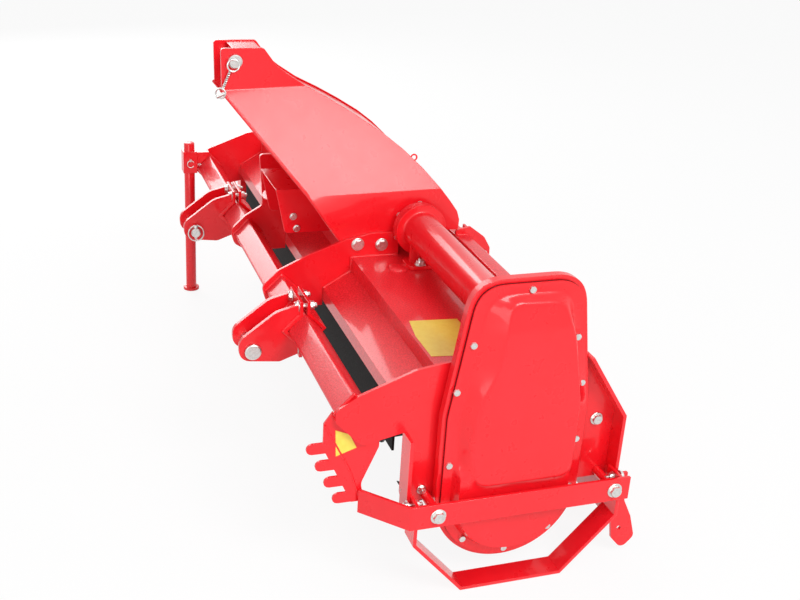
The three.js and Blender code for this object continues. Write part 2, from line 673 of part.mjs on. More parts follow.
function lowerBracket(side, sign) {
  const x = (sign * LINK_SPAN) / 2;
  const line = clampLine(-1);
  const clamp = prism("X", bentSheet(line, -CLAMP_SHEET), x - CLAMP_HALF_WIDTH, x + CLAMP_HALF_WIDTH);
  const cheekOutline = [
    [LINK_PIN_Y - 32, LINK_PIN_Z - 24, 30],
    [LINK_PIN_Y - 34, LINK_PIN_Z + 28, 32],
    [BAR_Y - 70, BAR_Z + 50, 60],
    [BAR_Y - 7, BAR_Z + 66, 10],
    [BAR_Y - 7, BAR_Z - 62, 6],
    [BAR_Y - 60, BAR_Z - 82, 20],
  ];
  const envelope = prism("X", [...line, [0, BAR_Z - 200], [0, BAR_Z + 200]], x - 80, x + 80);
  const cheeks = [-1, 1].map((cheek) => {
    const inner = x + cheek * CHEEK_INNER;
    const outer = x + cheek * (CHEEK_INNER + CHEEK_SHEET);
    return prism("X", cheekOutline, Math.min(inner, outer), Math.max(inner, outer));
  });
  const hole = rod("X", LINK_PIN_Y, LINK_PIN_Z, LINK_PIN_RADIUS + PIN_PLAY, x - 80, x + 80);
  return mesh("lower_bracket_" + side, join(...cheeks, clamp).subtract(envelope).subtract(hole), paint);
}

function rearClamp(side, sign) {
  const x = (sign * LINK_SPAN) / 2;
  const outline = bentSheet(clampLine(1), CLAMP_SHEET);
  return mesh("rear_clamp_" + side, prism("X", outline, x - CLAMP_HALF_WIDTH, x + CLAMP_HALF_WIDTH), paint);
}

function lowerPin(side, sign) {
  const x = (sign * LINK_SPAN) / 2;
  const face = CHEEK_INNER + CHEEK_SHEET;
  const shank = rod("X", LINK_PIN_Y, LINK_PIN_Z, LINK_PIN_RADIUS, x - face - 18, x + face + 18);
  const near = Math.abs(x) + face + GAP;
  const far = near + PIN_HEAD;
  const head = sidePrism(sign, circle(LINK_PIN_Y, LINK_PIN_Z, LINK_PIN_RADIUS + 6, 16), near, far);
  const trim = sidePrism(sign, circle(LINK_PIN_Y, LINK_PIN_Z, 2 * LINK_PIN_RADIUS), far, far + 40);
  return mesh("lower_pin_" + side, join(shank, head).subtract(trim), zinc);
}

// ---------------------------------------------------------------- parking stand
function standSleeve() {
  const shell = prism(
    "Z",
    box2(STAND_X - SLEEVE_HALF, STAND_X + SLEEVE_HALF, STAND_Y - SLEEVE_HALF, STAND_Y + SLEEVE_HALF),
    SLEEVE_LOW,
    SLEEVE_HIGH,
  );
  const saddleOutline = [
    [STAND_Y + SLEEVE_HALF - 2, SLEEVE_LOW + 30],
    [STAND_Y + SLEEVE_HALF - 2, SLEEVE_HIGH - 6],
    [BAR_Y, SLEEVE_HIGH - 6],
    [BAR_Y, SLEEVE_LOW + 30],
  ];
  const barSpace = prism("X", diamond(BAR_Y, BAR_Z, DIAMOND_PLAY), STAND_X - 100, STAND_X + 100);
  const saddle = prism("X", saddleOutline, STAND_X - 10, STAND_X + 10).subtract(barSpace);
  const bore = rod("Z", STAND_X, STAND_Y, STAND_RADIUS + STAND_PLAY, 0, 2000, ROUND);
  return mesh("stand_sleeve", join(shell, saddle).subtract(bore), paint);
}

function standLeg() {
  const tube = rod("Z", STAND_X, STAND_Y, STAND_RADIUS, 0, STAND_TOP, ROUND);
  const foot = rod("Z", STAND_X, STAND_Y, 27, 0, 10, ROUND);
  return mesh("stand_leg", join(tube, foot), paint);
}

// ---------------------------------------------------------------- drive line
const TRUMPET_RADIUS = 56;
const SHIELD_HALF = 92;
const SHIELD_TOP = 676;
const SHIELD_SHEET = 4;
const GEARBOX_FRONT = -112;
const GEARBOX_REAR = 118;
const GEARBOX_TOP = 682;
const NOSE_END = -170;
const SHAFT_BORE = SHAFT_RADIUS + JOURNAL_PLAY;

function gearbox() {
  const body = prism(
    "X",
    [
      [GEARBOX_FRONT, HOOD_TOP + GAP + 8],
      [GEARBOX_FRONT, GEARBOX_TOP - 40, 20],
      [GEARBOX_FRONT + 50, GEARBOX_TOP, 20],
      [GEARBOX_REAR - 20, GEARBOX_TOP, 20],
      [GEARBOX_REAR, GEARBOX_TOP - 40, 20],
      [GEARBOX_REAR, HOOD_TOP + GAP + 8],
    ],
    -GEARBOX_HALF_X,
    GEARBOX_HALF_X,
  );
  const footOutline = box2(-165, 165, GEARBOX_FRONT - 10, GEARBOX_REAR - 2);
  const foot = prism("Z", footOutline, HOOD_TOP + GAP, HOOD_TOP + GAP + 12);
  const nose = rod("Y", 0, DRIVE_Z, 62, NOSE_END, GEARBOX_FRONT + 1, ROUND);
  const trumpet = rod("X", DRIVE_Y, DRIVE_Z, TRUMPET_RADIUS, GEARBOX_HALF_X - 1, FLANGE_X, ROUND);
  const flange = rod("X", DRIVE_Y, DRIVE_Z, FLANGE_RADIUS, FLANGE_X - FLANGE_THICKNESS, FLANGE_X, ROUND);
  const cap = rod("X", DRIVE_Y, DRIVE_Z, TRUMPET_RADIUS, -GEARBOX_HALF_X - 40, -GEARBOX_HALF_X + 1, ROUND);
  const bore = rod("Y", 0, DRIVE_Z, SHAFT_BORE, NOSE_END - 1, GEARBOX_FRONT + 60, ROUND);
  return mesh("gearbox", join(body, foot, nose, trumpet, flange, cap).subtract(bore), paint);
}

function sideDriveTube() {
  const start = FLANGE_X + GAP;
  const end = INNER_X - GAP;
  const bore = circle(DRIVE_Y, DRIVE_Z, TUBE_RADIUS - TUBE_WALL);
  const tube = prism("X", circle(DRIVE_Y, DRIVE_Z, TUBE_RADIUS), start, end, [bore]);
  const flange = prism("X", circle(DRIVE_Y, DRIVE_Z, FLANGE_RADIUS), start, start + FLANGE_THICKNESS, [bore]);
  return mesh("side_drive_tube", join(tube, flange), paint);
}

const SADDLE_X = FLANGE_X + 57;
const SADDLE_HALF_X = 35;

function tubeSaddle() {
  const near = SADDLE_X - SADDLE_HALF_X;
  const far = SADDLE_X + SADDLE_HALF_X;
  const front = DRIVE_Y - 56;
  const rear = DRIVE_Y + 62;
  const corners = [[near, front, 20], [far, front, 20], [far, rear, 20], [near, rear, 20]];
  const base = prism("Z", corners, HOOD_TOP + GAP, HOOD_TOP + GAP + 10);
  const webOutline = box2(DRIVE_Y - 40, DRIVE_Y + 40, HOOD_TOP + 5, DRIVE_Z - 20);
  const web = prism("X", webOutline, SADDLE_X - 15, SADDLE_X - 3);
  const tube = rod("X", DRIVE_Y, DRIVE_Z, TUBE_RADIUS + GAP, near - 1, far + 1, ROUND);
  return mesh("tube_saddle", join(base, web).subtract(tube), paint);
}

const SPLINES = 6;
const SPLINE_ROOT = SHAFT_RADIUS - 2.6;

function inputShaft() {
  const outline = Array.from({ length: SPLINES }, (_, i) => {
    const turn = (2 * Math.PI * i) / SPLINES;
    const tooth = [[SHAFT_RADIUS, -0.3], [SHAFT_RADIUS, 0.3], [SPLINE_ROOT, 0.34], [SPLINE_ROOT, 0.7]];
    return tooth.map(([radius, angle]) => [
      radius * Math.cos(turn + angle),
      DRIVE_Z + radius * Math.sin(turn + angle),
    ]);
  }).flat();
  const splines = prism("Y", outline, SHAFT_END_Y, NOSE_END - 10);
  const shank = rod("Y", 0, DRIVE_Z, SHAFT_RADIUS, NOSE_END - 11, GEARBOX_FRONT + 40, ROUND);
  return mesh("input_shaft", join(splines, shank), steel);
}

// ---------------------------------------------------------------- rotor
const ROTOR_END = INNER_X - ROTOR_END_GAP;

function rotorTube() {
  const tube = rod("X", ROTOR_Y, ROTOR_Z, ROTOR_TUBE_RADIUS, -ROTOR_END, ROTOR_END, ROUND);
  const shaft = rod("X", ROTOR_Y, ROTOR_Z, JOURNAL_RADIUS, -HALF_WIDTH - 20, HALF_WIDTH + 20, ROUND);
  return mesh("rotor_tube", join(tube, shaft), black);
}

// One blade about the rotor axis: a curved shank, and a tip bent along the rotor to one side.
function blade(x, direction) {
  const inner = RING_RADIUS - 34;
  const shank = [
    [inner, -BLADE_WIDTH / 2],
    [BLADE_RADIUS * 0.72, -BLADE_WIDTH / 2],
    [BLADE_RADIUS - 4, -BLADE_WIDTH / 2 - 22],
    [BLADE_RADIUS - 10, BLADE_WIDTH / 2 - 24],
    [BLADE_RADIUS * 0.72, BLADE_WIDTH / 2],
    [inner, BLADE_WIDTH / 2],
  ];
  const near = x + direction * (RING_THICKNESS / 2 - 1);
  const far = near + direction * BLADE_THICKNESS;
  const body = prism("X", shank, Math.min(near, far), Math.max(near, far));
  const tip = [
    [BLADE_RADIUS - 14, -BLADE_WIDTH / 2 - 20],
    [BLADE_RADIUS - 4, -BLADE_WIDTH / 2 - 22],
    [BLADE_RADIUS - 10, BLADE_WIDTH / 2 - 24],
    [BLADE_RADIUS - 19, BLADE_WIDTH / 2 - 22],
  ];
  const reach = near + direction * (BLADE_REACH - RING_THICKNESS / 2);
  return join(body, prism("X", tip, Math.min(near, reach), Math.max(near, reach)));
}

function bladeRing(index) {
  const span = INNER_X - RING_END_GAP;
  const x = THREE.MathUtils.lerp(-span, span, index / (RING_COUNT - 1));
  const disc = prism("X", circle(0, 0, RING_RADIUS), x - RING_THICKNESS / 2, x + RING_THICKNESS / 2, [
    circle(0, 0, ROTOR_TUBE_RADIUS + GAP),
  ]);
  const blades = Array.from({ length: BLADES_PER_RING }, (_, i) =>
    blade(x, i % 2 ? 1 : -1).rotate([(360 * i) / BLADES_PER_RING, 0, 0]),
  );
  const ring = join(disc, ...blades).rotate([RING_START + RING_TWIST * index, 0, 0]);
  return mesh("blade_ring_" + (index + 1), ring.translate([0, ROTOR_Y, ROTOR_Z]), black);
}

// ---------------------------------------------------------------- trailing board and its rods
const hingeRod = () =>
  mesh("hinge_rod", rod("X", HINGE_Y, HINGE_Z, HINGE_RADIUS, -BOARD_HALF, BOARD_HALF), zinc);

const BARREL_WIDTH = 40;
const BARREL_SHIFT = 45; // a barrel's middle from its lug, towards the machine's middle
const LUG_HALF = 24;

// The rods hang from the rear brackets and run down through the guides of the board.
const ROD_RUN = new THREE.Vector2(GUIDE_Y - ROD_PIN_Y, GUIDE_Z - ROD_PIN_Z);
const ROD_TILT = (Math.atan2(ROD_RUN.x, -ROD_RUN.y) * 180) / Math.PI;
const ROD_LENGTH = ROD_RUN.length();
const ROD_PAST = 34; // rod past the guide
const COLLAR_AT = 262; // upper pin to the collar over the spring
const COLLAR = 8;
const GUIDE_THICKNESS = 8;

// A piece made hanging straight down from the upper pin, swung out to the rod's slope.
const hung = (shape, x) => shape.rotate([ROD_TILT, 0, 0]).translate([x, ROD_PIN_Y, ROD_PIN_Z]);

function trailingBoard() {
  const line = [
    [HINGE_Y + 22, HINGE_Z - 26],
    [HINGE_Y + 22, 230],
    [HINGE_Y + 26, 120],
    [HINGE_Y + 44, 40],
    [HINGE_Y + 74, 24],
  ];
  const sheet = prism("X", bentSheet(line, BOARD_SHEET), -BOARD_HALF, BOARD_HALF);
  const barrels = HINGE_LUGS.filter((x) => x).map((x) => {
    const middle = x - Math.sign(x) * BARREL_SHIFT;
    const arm = [
      [HINGE_Y + HINGE_RADIUS + 1, HINGE_Z + 10, 4],
      [HINGE_Y + 26, HINGE_Z - 2, 4],
      [HINGE_Y + 24, HINGE_Z - 50],
      [HINGE_Y + 21, HINGE_Z - 50],
      [HINGE_Y, HINGE_Z - 13],
    ];
    const from = middle - BARREL_WIDTH / 2;
    const to = middle + BARREL_WIDTH / 2;
    const barrel = rod("X", HINGE_Y, HINGE_Z, BARREL_RADIUS - 1, from, to, 16);
    return join(barrel, prism("X", arm, from, to));
  });
  const lugs = [-1, 1].flatMap((side) =>
    [-1, 1].map((cheek) => {
      const x = side * BRACKET_X + cheek * LUG_HALF;
      const outline = [
        [HINGE_Y + 24, GUIDE_Z + 44],
        [GUIDE_Y + 26, GUIDE_Z + 26, 12],
        [GUIDE_Y + 26, GUIDE_Z - 6, 12],
        [HINGE_Y + 25, GUIDE_Z - 44],
      ];
      return prism("X", outline, x - 3, x + 3);
    }),
  );
  const guides = [-1, 1].map((side) => {
    const low = -ROD_LENGTH - GUIDE_THICKNESS / 2;
    const slot = [[-9.5, -20, 9], [9.5, -20, 9], [9.5, 20, 9], [-9.5, 20, 9]];
    const plate = prism("Z", box2(-LUG_HALF, LUG_HALF, -26, 26), low, low + GUIDE_THICKNESS, [slot]);
    return hung(plate, side * BRACKET_X);
  });
  const pinSpace = rod("X", HINGE_Y, HINGE_Z, HINGE_RADIUS + PIN_PLAY, -BOARD_HALF - 1, BOARD_HALF + 1);
  return mesh("trailing_board", join(sheet, ...barrels, ...lugs, ...guides).subtract(pinSpace), paint);
}

function springRod(side, sign) {
  const below = -ROD_LENGTH - GUIDE_THICKNESS / 2;
  const eye = rod("X", 0, 0, 15, -12, 12);
  const pin = rod("X", 0, 0, ROD_RADIUS, -BRACKET_HALF - 8, BRACKET_HALF + 8);
  const shank = rod("Z", 0, 0, ROD_RADIUS, below - ROD_PAST, -8);
  const collar = rod("Z", 0, 0, 18, -COLLAR_AT - COLLAR, -COLLAR_AT);
  const nut = rod("Z", 0, 0, 17, below - 14, below - GAP, 6);
  return mesh("spring_rod_" + side, hung(join(eye, pin, shank, collar, nut), sign * BRACKET_X), zinc);
}

const SPRING_RADIUS = 18;
const SPRING_WIRE = 5;

function boardSpring(side, sign) {
  const hole = circle(0, 0, SPRING_RADIUS - SPRING_WIRE, SMALL_ROUND);
  const high = -COLLAR_AT - COLLAR - GAP;
  const low = -ROD_LENGTH + GUIDE_THICKNESS / 2 + GAP;
  const sleeve = prism("Z", circle(0, 0, SPRING_RADIUS, SMALL_ROUND), low, high, [hole]);
  return mesh("board_spring_" + side, hung(sleeve, sign * BRACKET_X), steel);
}

function rearBracket(side, sign) {
  const middle = sign * BRACKET_X;
  const beamTop = BEAM_HIGH + GAP;
  const beamRear = BEAM_Y + BEAM / 2 + GAP;
  const outerCheek = [
    [141, beamTop],
    [142, beamTop + 14, 3],
    [183, 584, 6],
    [226, 552, 16],
    [245, 520, 14],
    [248, 440, 6],
    [beamRear, 440],
    [beamRear, beamTop],
  ];
  const innerCheek = [
    [beamRear, 440],
    [beamRear, beamTop - 14],
    [204, 556, 10],
    [238, 536, 10],
    [246, 506, 14],
    [246, 440, 6],
  ];
  const near = BRACKET_X - BRACKET_HALF;
  const far = BRACKET_X + BRACKET_HALF;
  const cheeks = [
    aboveHood(outerCheek, ...between(sign, far - BRACKET_SHEET, far)),
    aboveHood(innerCheek, ...between(sign, near, near + BRACKET_SHEET)),
  ];
  const hole = rod("X", ROD_PIN_Y, ROD_PIN_Z, ROD_RADIUS + PIN_PLAY, middle - 99, middle + 99);
  const tie = prism(
    "X",
    box2(beamRear + 4, beamRear + 10, BEAM_LOW + 10, beamTop + 8),
    middle - BRACKET_HALF + 1,
    middle + BRACKET_HALF - 1,
  );
  return mesh("rear_bracket_" + side, join(...cheeks, tie).subtract(hole), paint);
}

// ---------------------------------------------------------------- assembly
const rotavator = new THREE.Group();
rotavator.add(
  frontBar(),
  rearBeam(),
  hood(),
  frontFlap(),
  ...bothSides((side, sign) => [
    endPlate(side, sign),
    skid(side, sign),
    hitchPlate(side, sign),
    mastPlate(side, sign),
    lowerBracket(side, sign),
    rearClamp(side, sign),
    lowerPin(side, sign),
    rearBracket(side, sign),
    springRod(side, sign),
    boardSpring(side, sign),
  ]),
  strapGuard(),
  combGuard(),
  boardStop(),
  gearCaseHousing(),
  gearCaseGasket(),
  gearCaseCover(),
  bearingHousing(),
  mastWeb(),
  topLinkPin(),
  shaftShield(),
  standSleeve(),
  standLeg(),
  gearbox(),
  sideDriveTube(),
  tubeSaddle(),
  inputShaft(),
  rotorTube(),
  ...Array.from({ length: RING_COUNT }, (_, i) => bladeRing(i)),
  hingeRod(),
  trailingBoard(),
);

// The origin is on the ground, under the middle of the whole machine.
const bounds = new THREE.Box3().setFromObject(rotavator);
const middle = bounds.getCenter(new THREE.Vector3());
rotavator.position.set(-middle.x, -middle.y, -bounds.min.z);

export default rotavator;
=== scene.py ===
"""Looks of the rotavator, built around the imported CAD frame.

Lengths inside the shape code are millimetres in the part's own layout: X = 0 on the hitch's
middle, +X towards the gear case, -Y towards the tractor, Z = 0 on the ground. to_row() turns them
into the row frame.
"""

import json
import math

import bmesh
import bpy
from mathutils import Matrix, Vector

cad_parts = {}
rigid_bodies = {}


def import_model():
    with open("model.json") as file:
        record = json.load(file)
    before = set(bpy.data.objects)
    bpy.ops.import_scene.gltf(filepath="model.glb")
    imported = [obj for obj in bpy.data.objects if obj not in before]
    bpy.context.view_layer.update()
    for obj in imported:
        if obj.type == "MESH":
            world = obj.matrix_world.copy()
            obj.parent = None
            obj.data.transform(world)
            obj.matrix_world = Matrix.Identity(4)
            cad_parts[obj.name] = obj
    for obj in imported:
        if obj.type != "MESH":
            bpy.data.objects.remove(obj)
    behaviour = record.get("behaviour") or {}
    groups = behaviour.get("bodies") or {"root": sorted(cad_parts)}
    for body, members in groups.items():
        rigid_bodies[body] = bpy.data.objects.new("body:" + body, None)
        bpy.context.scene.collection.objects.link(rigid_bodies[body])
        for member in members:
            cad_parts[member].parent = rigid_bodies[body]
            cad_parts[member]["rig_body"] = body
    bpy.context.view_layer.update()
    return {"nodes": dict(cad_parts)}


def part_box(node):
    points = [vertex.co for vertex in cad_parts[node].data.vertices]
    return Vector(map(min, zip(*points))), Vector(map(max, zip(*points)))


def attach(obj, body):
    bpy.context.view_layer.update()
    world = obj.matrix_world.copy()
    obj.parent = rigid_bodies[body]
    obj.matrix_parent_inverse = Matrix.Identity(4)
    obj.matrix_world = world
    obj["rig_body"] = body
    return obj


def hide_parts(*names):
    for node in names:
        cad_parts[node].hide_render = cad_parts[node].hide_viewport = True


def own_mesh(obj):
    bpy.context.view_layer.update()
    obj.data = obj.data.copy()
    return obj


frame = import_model()
nodes = frame["nodes"]

# ---------------------------------------------------------------- layout, in millimetres
MM = 0.001
ROTOR = (22.0, 220.0)  # y and z of the rotor's axis
BAR = (-341.0, 445.0)  # y and z of the front bar's axis
DRIVE_Z = 602.0  # height of the side drive's axis
HINGE = (299, 322)  # y and z of the trailing board's hinge rod
TOP_PIN = (-432, 1008)  # y and z of the top link pin
LOWER_PIN = (-468, 398)  # y and z of the lower link pins
INNER_X = 872.0  # inner face of an end plate
PLATE_FACE = 880.3  # just clear of an end plate's outer face
DECK_TOP = 522.3
STAND_X = -846.0

pin_low, pin_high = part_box("hinge_rod")
tube_low, tube_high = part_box("rotor_tube")
ORIGIN = Vector(
    (
        (pin_low.x + pin_high.x) / 2,
        (tube_low.y + tube_high.y) / 2 - ROTOR[0] * MM,
        0.0,
    )
)
TO_ROW = Matrix.Translation(ORIGIN) @ Matrix.Scale(MM, 4)


# ---------------------------------------------------------------- materials
def node(tree, kind, **settings):
    made = tree.nodes.new(kind)
    for key, value in settings.items():
        if key in made.inputs:
            made.inputs[key].default_value = value
        else:
            setattr(made, key, value)
    return made


def grain(tree, where, scale, detail=3.0):
    made = tree.nodes.new("ShaderNodeTexNoise")
    made.inputs["Scale"].default_value = scale
    made.inputs["Detail"].default_value = detail
    tree.links.new(where, made.inputs["Vector"])
    return made.outputs["Fac"]


def spread(tree, value, low, high, start=0.3, end=0.7):
    made = tree.nodes.new("ShaderNodeMapRange")
    made.inputs["From Min"].default_value = start
    made.inputs["From Max"].default_value = end
    made.inputs["To Min"].default_value = low
    made.inputs["To Max"].default_value = high
    tree.links.new(value, made.inputs["Value"])
    return made.outputs["Result"]


def blended(tree, value, first, second):
    made = tree.nodes.new("ShaderNodeMix")
    made.data_type = "RGBA"
    made.inputs["A"].default_value = (*first, 1)
    made.inputs["B"].default_value = (*second, 1)
    tree.links.new(value, made.inputs["Factor"])
    return made.outputs["Result"]


def bumps(tree, layers):
    """A chain of bump nodes, one for each (height, distance in metres)."""
    normal = None
    for height, distance in layers:
        made = tree.nodes.new("ShaderNodeBump")
        made.inputs["Strength"].default_value = 1.0
        made.inputs["Distance"].default_value = distance
        tree.links.new(height, made.inputs["Height"])
        if normal:
            tree.links.new(normal, made.inputs["Normal"])
        normal = made.outputs["Normal"]
    return normal


def material(name, light, dark, patch, rough, bump, fixed):
    """A surface with two colours in soft patches, uneven gloss and layers of fine relief.

    patch is the patches' scale per metre, rough the lowest and highest roughness, bump a list of
    (scale per metre, height in metres), and fixed the shader's own even values."""
    made = bpy.data.materials.new(name)
    made.use_nodes = True
    tree = made.node_tree
    shader = tree.nodes["Principled BSDF"]
    where = tree.nodes.new("ShaderNodeTexCoord").outputs["Object"]
    colour = blended(tree, spread(tree, grain(tree, where, patch), 0, 1), light, dark)
    tree.links.new(colour, shader.inputs["Base Color"])
    gloss = spread(tree, grain(tree, where, patch * 7, 5.0), *rough)
    tree.links.new(gloss, shader.inputs["Roughness"])
    layers = [(grain(tree, where, scale, 2.0), height) for scale, height in bump]
    tree.links.new(bumps(tree, layers), shader.inputs["Normal"])
    for key, value in fixed.items():
        shader.inputs[key].default_value = value
    return made


RED_LIGHT = (0.93, 0.012, 0.022)
RED_DARK = (0.80, 0.007, 0.014)
GLOSS = {"Specular IOR Level": 0.3, "Coat Weight": 0.45, "Coat Roughness": 0.07}

paint = material(
    "red_paint", RED_LIGHT, RED_DARK, 4, (0.26, 0.33), [(6, 0.0009), (380, 0.00003)], GLOSS
)
textured = material(
    "red_paint_textured",
    (0.95, 0.030, 0.045),
    (0.66, 0.006, 0.012),
    230,
    (0.28, 0.40),
    [(6, 0.0009), (230, 0.0005), (600, 0.0001)],
    GLOSS,
)
zinc = material(
    "zinc_plate",
    (0.78, 0.78, 0.76),
    (0.62, 0.62, 0.60),
    160,
    (0.22, 0.42),
    [(700, 0.00003)],
    {"Metallic": 1.0},
)
steel = material(
    "bare_steel",
    (0.50, 0.49, 0.47),
    (0.34, 0.33, 0.32),
    90,
    (0.3, 0.5),
    [(500, 0.00005)],
    {"Metallic": 1.0},
)
black = material(
    "black_paint",
    (0.010, 0.010, 0.011),
    (0.022, 0.021, 0.020),
    40,
    (0.32, 0.55),
    [(30, 0.0006), (420, 0.00010)],
    {"Specular IOR Level": 0.3, "Coat Weight": 0.12, "Coat Roughness": 0.3},
)
# Black rubber for the gasket; the same material also makes the front flap, a dark sheet of painted
# shade under the hood.
rubber_and_painted_shade = material(
    "gasket",
    (0.006, 0.006, 0.006),
    (0.013, 0.012, 0.012),
    120,
    (0.6, 0.85),
    [(600, 0.00008)],
    {"Specular IOR Level": 0.12},
)
label = material(
    "label_yellow",
    (0.90, 0.72, 0.10),
    (0.84, 0.64, 0.06),
    70,
    (0.35, 0.5),
    [(500, 0.00003)],
    {"Coat Weight": 0.3, "Coat Roughness": 0.2},
)


# ---------------------------------------------------------------- shape building
def placed(obj, surface, body, replaced=()):
    obj.data.materials.clear()
    obj.data.materials.append(surface)
    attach(obj, body)
    if replaced:
        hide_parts(*replaced)
    return obj


def shaded(mesh, sharp_angle):
    mesh.shade_smooth()
    mesh.set_sharp_from_angle(angle=math.radians(sharp_angle))


def weighted(obj):
    made = obj.modifiers.new("weighted", "WEIGHTED_NORMAL")
    made.keep_sharp = True


def linked(name, mesh):
    obj = bpy.data.objects.new(name, mesh)
    bpy.context.scene.collection.objects.link(obj)
    return obj


def axes_of(direction):
    """Two directions square to a given one, and to each other."""
    along = Vector(direction).normalized()
    helper = Vector((0, 0, 1)) if abs(along.z) < 0.9 else Vector((1, 0, 0))
    first = along.cross(helper).normalized()
    return along, first, along.cross(first)


class Shape:
    """Closed surfaces gathered into one mesh, in layout millimetres."""

    def __init__(self):
        self.bm = bmesh.new()

    def loft(self, rings, closed=False, caps=True):
        """Quads between rings of the same number of points."""
        made = [[self.bm.verts.new(p) for p in ring] for ring in rings]
        count = len(made[0])
        pairs = list(zip(made, made[1:]))
        if closed:
            pairs.append((made[-1], made[0]))
        for low, high in pairs:
            for i in range(count):
                j = (i + 1) % count
                self.bm.faces.new((low[i], low[j], high[j], high[i]))
        if caps and not closed:
            self.bm.faces.new(list(reversed(made[0])))
            self.bm.faces.new(made[-1])
        return self

    def turned(self, at, direction, profile, sides=32, closed=False):
        """A turned body: profile holds (distance along, radius), closed for a ring's section."""
        along, first, second = axes_of(direction)
        at = Vector(at)
        rings = []
        for distance, radius in profile:
            turn = [2 * math.pi * i / sides for i in range(sides)]
            rings.append(
                [
                    at + along * distance + (first * math.cos(a) + second * math.sin(a)) * radius
                    for a in turn
                ]
            )
        return self.loft(rings, closed=closed)

    def swept(self, path, radius, sides=10, closed=False, ripple=None):
        """A round wire along a path. ripple, if given, scales the radius at each step."""
        path = [Vector(p) for p in path]
        last = len(path) - 1
        rings = []
        first = None
        for i, p in enumerate(path):
            after = path[(i + 1) % len(path)] if closed or i < last else p
            before = path[i - 1] if closed or i else p
            along = (after - before).normalized()
            if first is None:
                first = axes_of(along)[1]
            first = (first - along * first.dot(along)).normalized()
            second = along.cross(first)
            size = radius * (ripple(i) if ripple else 1)
            turn = [2 * math.pi * k / sides for k in range(sides)]
            rings.append([p + (first * math.cos(a) + second * math.sin(a)) * size for a in turn])
        return self.loft(rings, closed=closed)

    def slab(self, outline, at, direction, up, thickness, edge=0.8):
        """A plate with eased edges, thick along direction. outline holds (across, up) points."""
        along = Vector(direction).normalized()
        high = Vector(up)
        high = (high - along * high.dot(along)).normalized()
        across = high.cross(along)
        at = Vector(at)
        middle = Vector((sum(p[0] for p in outline), sum(p[1] for p in outline))) / len(outline)
        area = sum(
            a[0] * b[1] - b[0] * a[1] for a, b in zip(outline, outline[1:] + outline[:1])
        )
        points = outline if area < 0 else outline[::-1]

        def ring(distance, inset):
            made = []
            for u, v in points:
                reach = math.hypot(u - middle.x, v - middle.y) or 1
                k = 1 - inset / reach
                u, v = middle.x + (u - middle.x) * k, middle.y + (v - middle.y) * k
                made.append(at + along * distance + across * u + high * v)
            return made

        rings = [ring(0, edge), ring(edge, 0), ring(thickness - edge, 0), ring(thickness, edge)]
        return self.loft(rings)

    def washer(self, at, direction, radius, hole, thickness=2.5):
        section = [
            (0, hole),
            (0, radius - 0.5),
            (0.5, radius),
            (thickness - 0.6, radius),
            (thickness, radius - 0.8),
            (thickness, hole),
        ]
        return self.turned(at, direction, section, 28, closed=True)

    def hex_head(self, at, direction, size, height):
        """A hexagon with a turned chamfer on its outer face. size is the bolt's own diameter."""
        along, first, second = axes_of(direction)
        at = Vector(at)
        corner = size * 0.98
        rings = []
        for distance, round_off in ((0, 0), (height * 0.82, 0), (height, 0.13)):
            ring = []
            for i in range(24):
                angle = 2 * math.pi * i / 24
                flat = math.cos(math.pi / 6) / math.cos((angle % (math.pi / 3)) - math.pi / 6)
                radius = corner * min(flat, 1 - round_off)
                out = first * math.cos(angle) + second * math.sin(angle)
                ring.append(at + along * distance + out * radius)
            rings.append(ring)
        return self.loft(rings)

    def bolt(self, at, direction, size, washer=True):
        """A hexagon bolt's head on a washer, standing on a surface at a point."""
        at = Vector(at)
        along = Vector(direction).normalized()
        if washer:
            self.washer(at, along, size * 1.25, size * 0.3)
            at = at + along * 2.5
        return self.hex_head(at, along, size, size * 0.62)

    def nut(self, at, direction, size, stub=8.0):
        """A washer, a nut and the bolt's threaded end."""
        at = Vector(at)
        along = Vector(direction).normalized()
        self.washer(at, along, size * 1.25, size * 0.3)
        self.hex_head(at + along * 2.5, along, size, size * 0.8)
        start = 2.5 + size * 0.8 - 0.5
        profile = [(start, size * 0.46)]
        steps = int(stub / 0.9)
        for i in range(steps):
            profile.append((start + 0.9 * (i + 0.5), size * (0.5 if i % 2 else 0.44)))
        profile.append((start + 0.9 * steps + 1.0, size * 0.38))
        return self.turned(at, along, profile, 20)

    def through(self, start, end, size):
        """A bolt right through: its head stands at start, and its nut at end."""
        start, end = Vector(start), Vector(end)
        along = (end - start).normalized()
        self.turned(start, along, [(-1, size * 0.48), ((end - start).length + 1, size * 0.48)], 16)
        self.bolt(start, -along, size)
        return self.nut(end, along, size)

    def weld(self, path, size=4.0):
        """A bead with its overlapping ripples, half sunk into the corner that it fills."""
        pitch = size * 0.55
        fine = []
        for a, b in zip(path, path[1:]):
            a, b = Vector(a), Vector(b)
            steps = max(2, int((b - a).length / (pitch / 3)))
            fine += [a.lerp(b, i / steps) for i in range(steps)]
        fine.append(Vector(path[-1]))

        def ripple(i):
            wave = 0.86 + 0.14 * abs(math.sin(math.pi * i / 3 + 0.4 * math.sin(i * 0.13)))
            return wave * (0.5 if i in (0, len(fine) - 1) else 1)

        return self.swept(fine, size, 8, ripple=ripple)

    def made(self, name, surface, body, replaced=(), sharp_angle=35, weigh=False):
        bmesh.ops.recalc_face_normals(self.bm, faces=self.bm.faces)
        self.bm.transform(TO_ROW)
        mesh = bpy.data.meshes.new(name)
        self.bm.to_mesh(mesh)
        self.bm.free()
        shaded(mesh, sharp_angle)
        obj = linked(name, mesh)
        if weigh:
            weighted(obj)
        return placed(obj, surface, body, replaced)


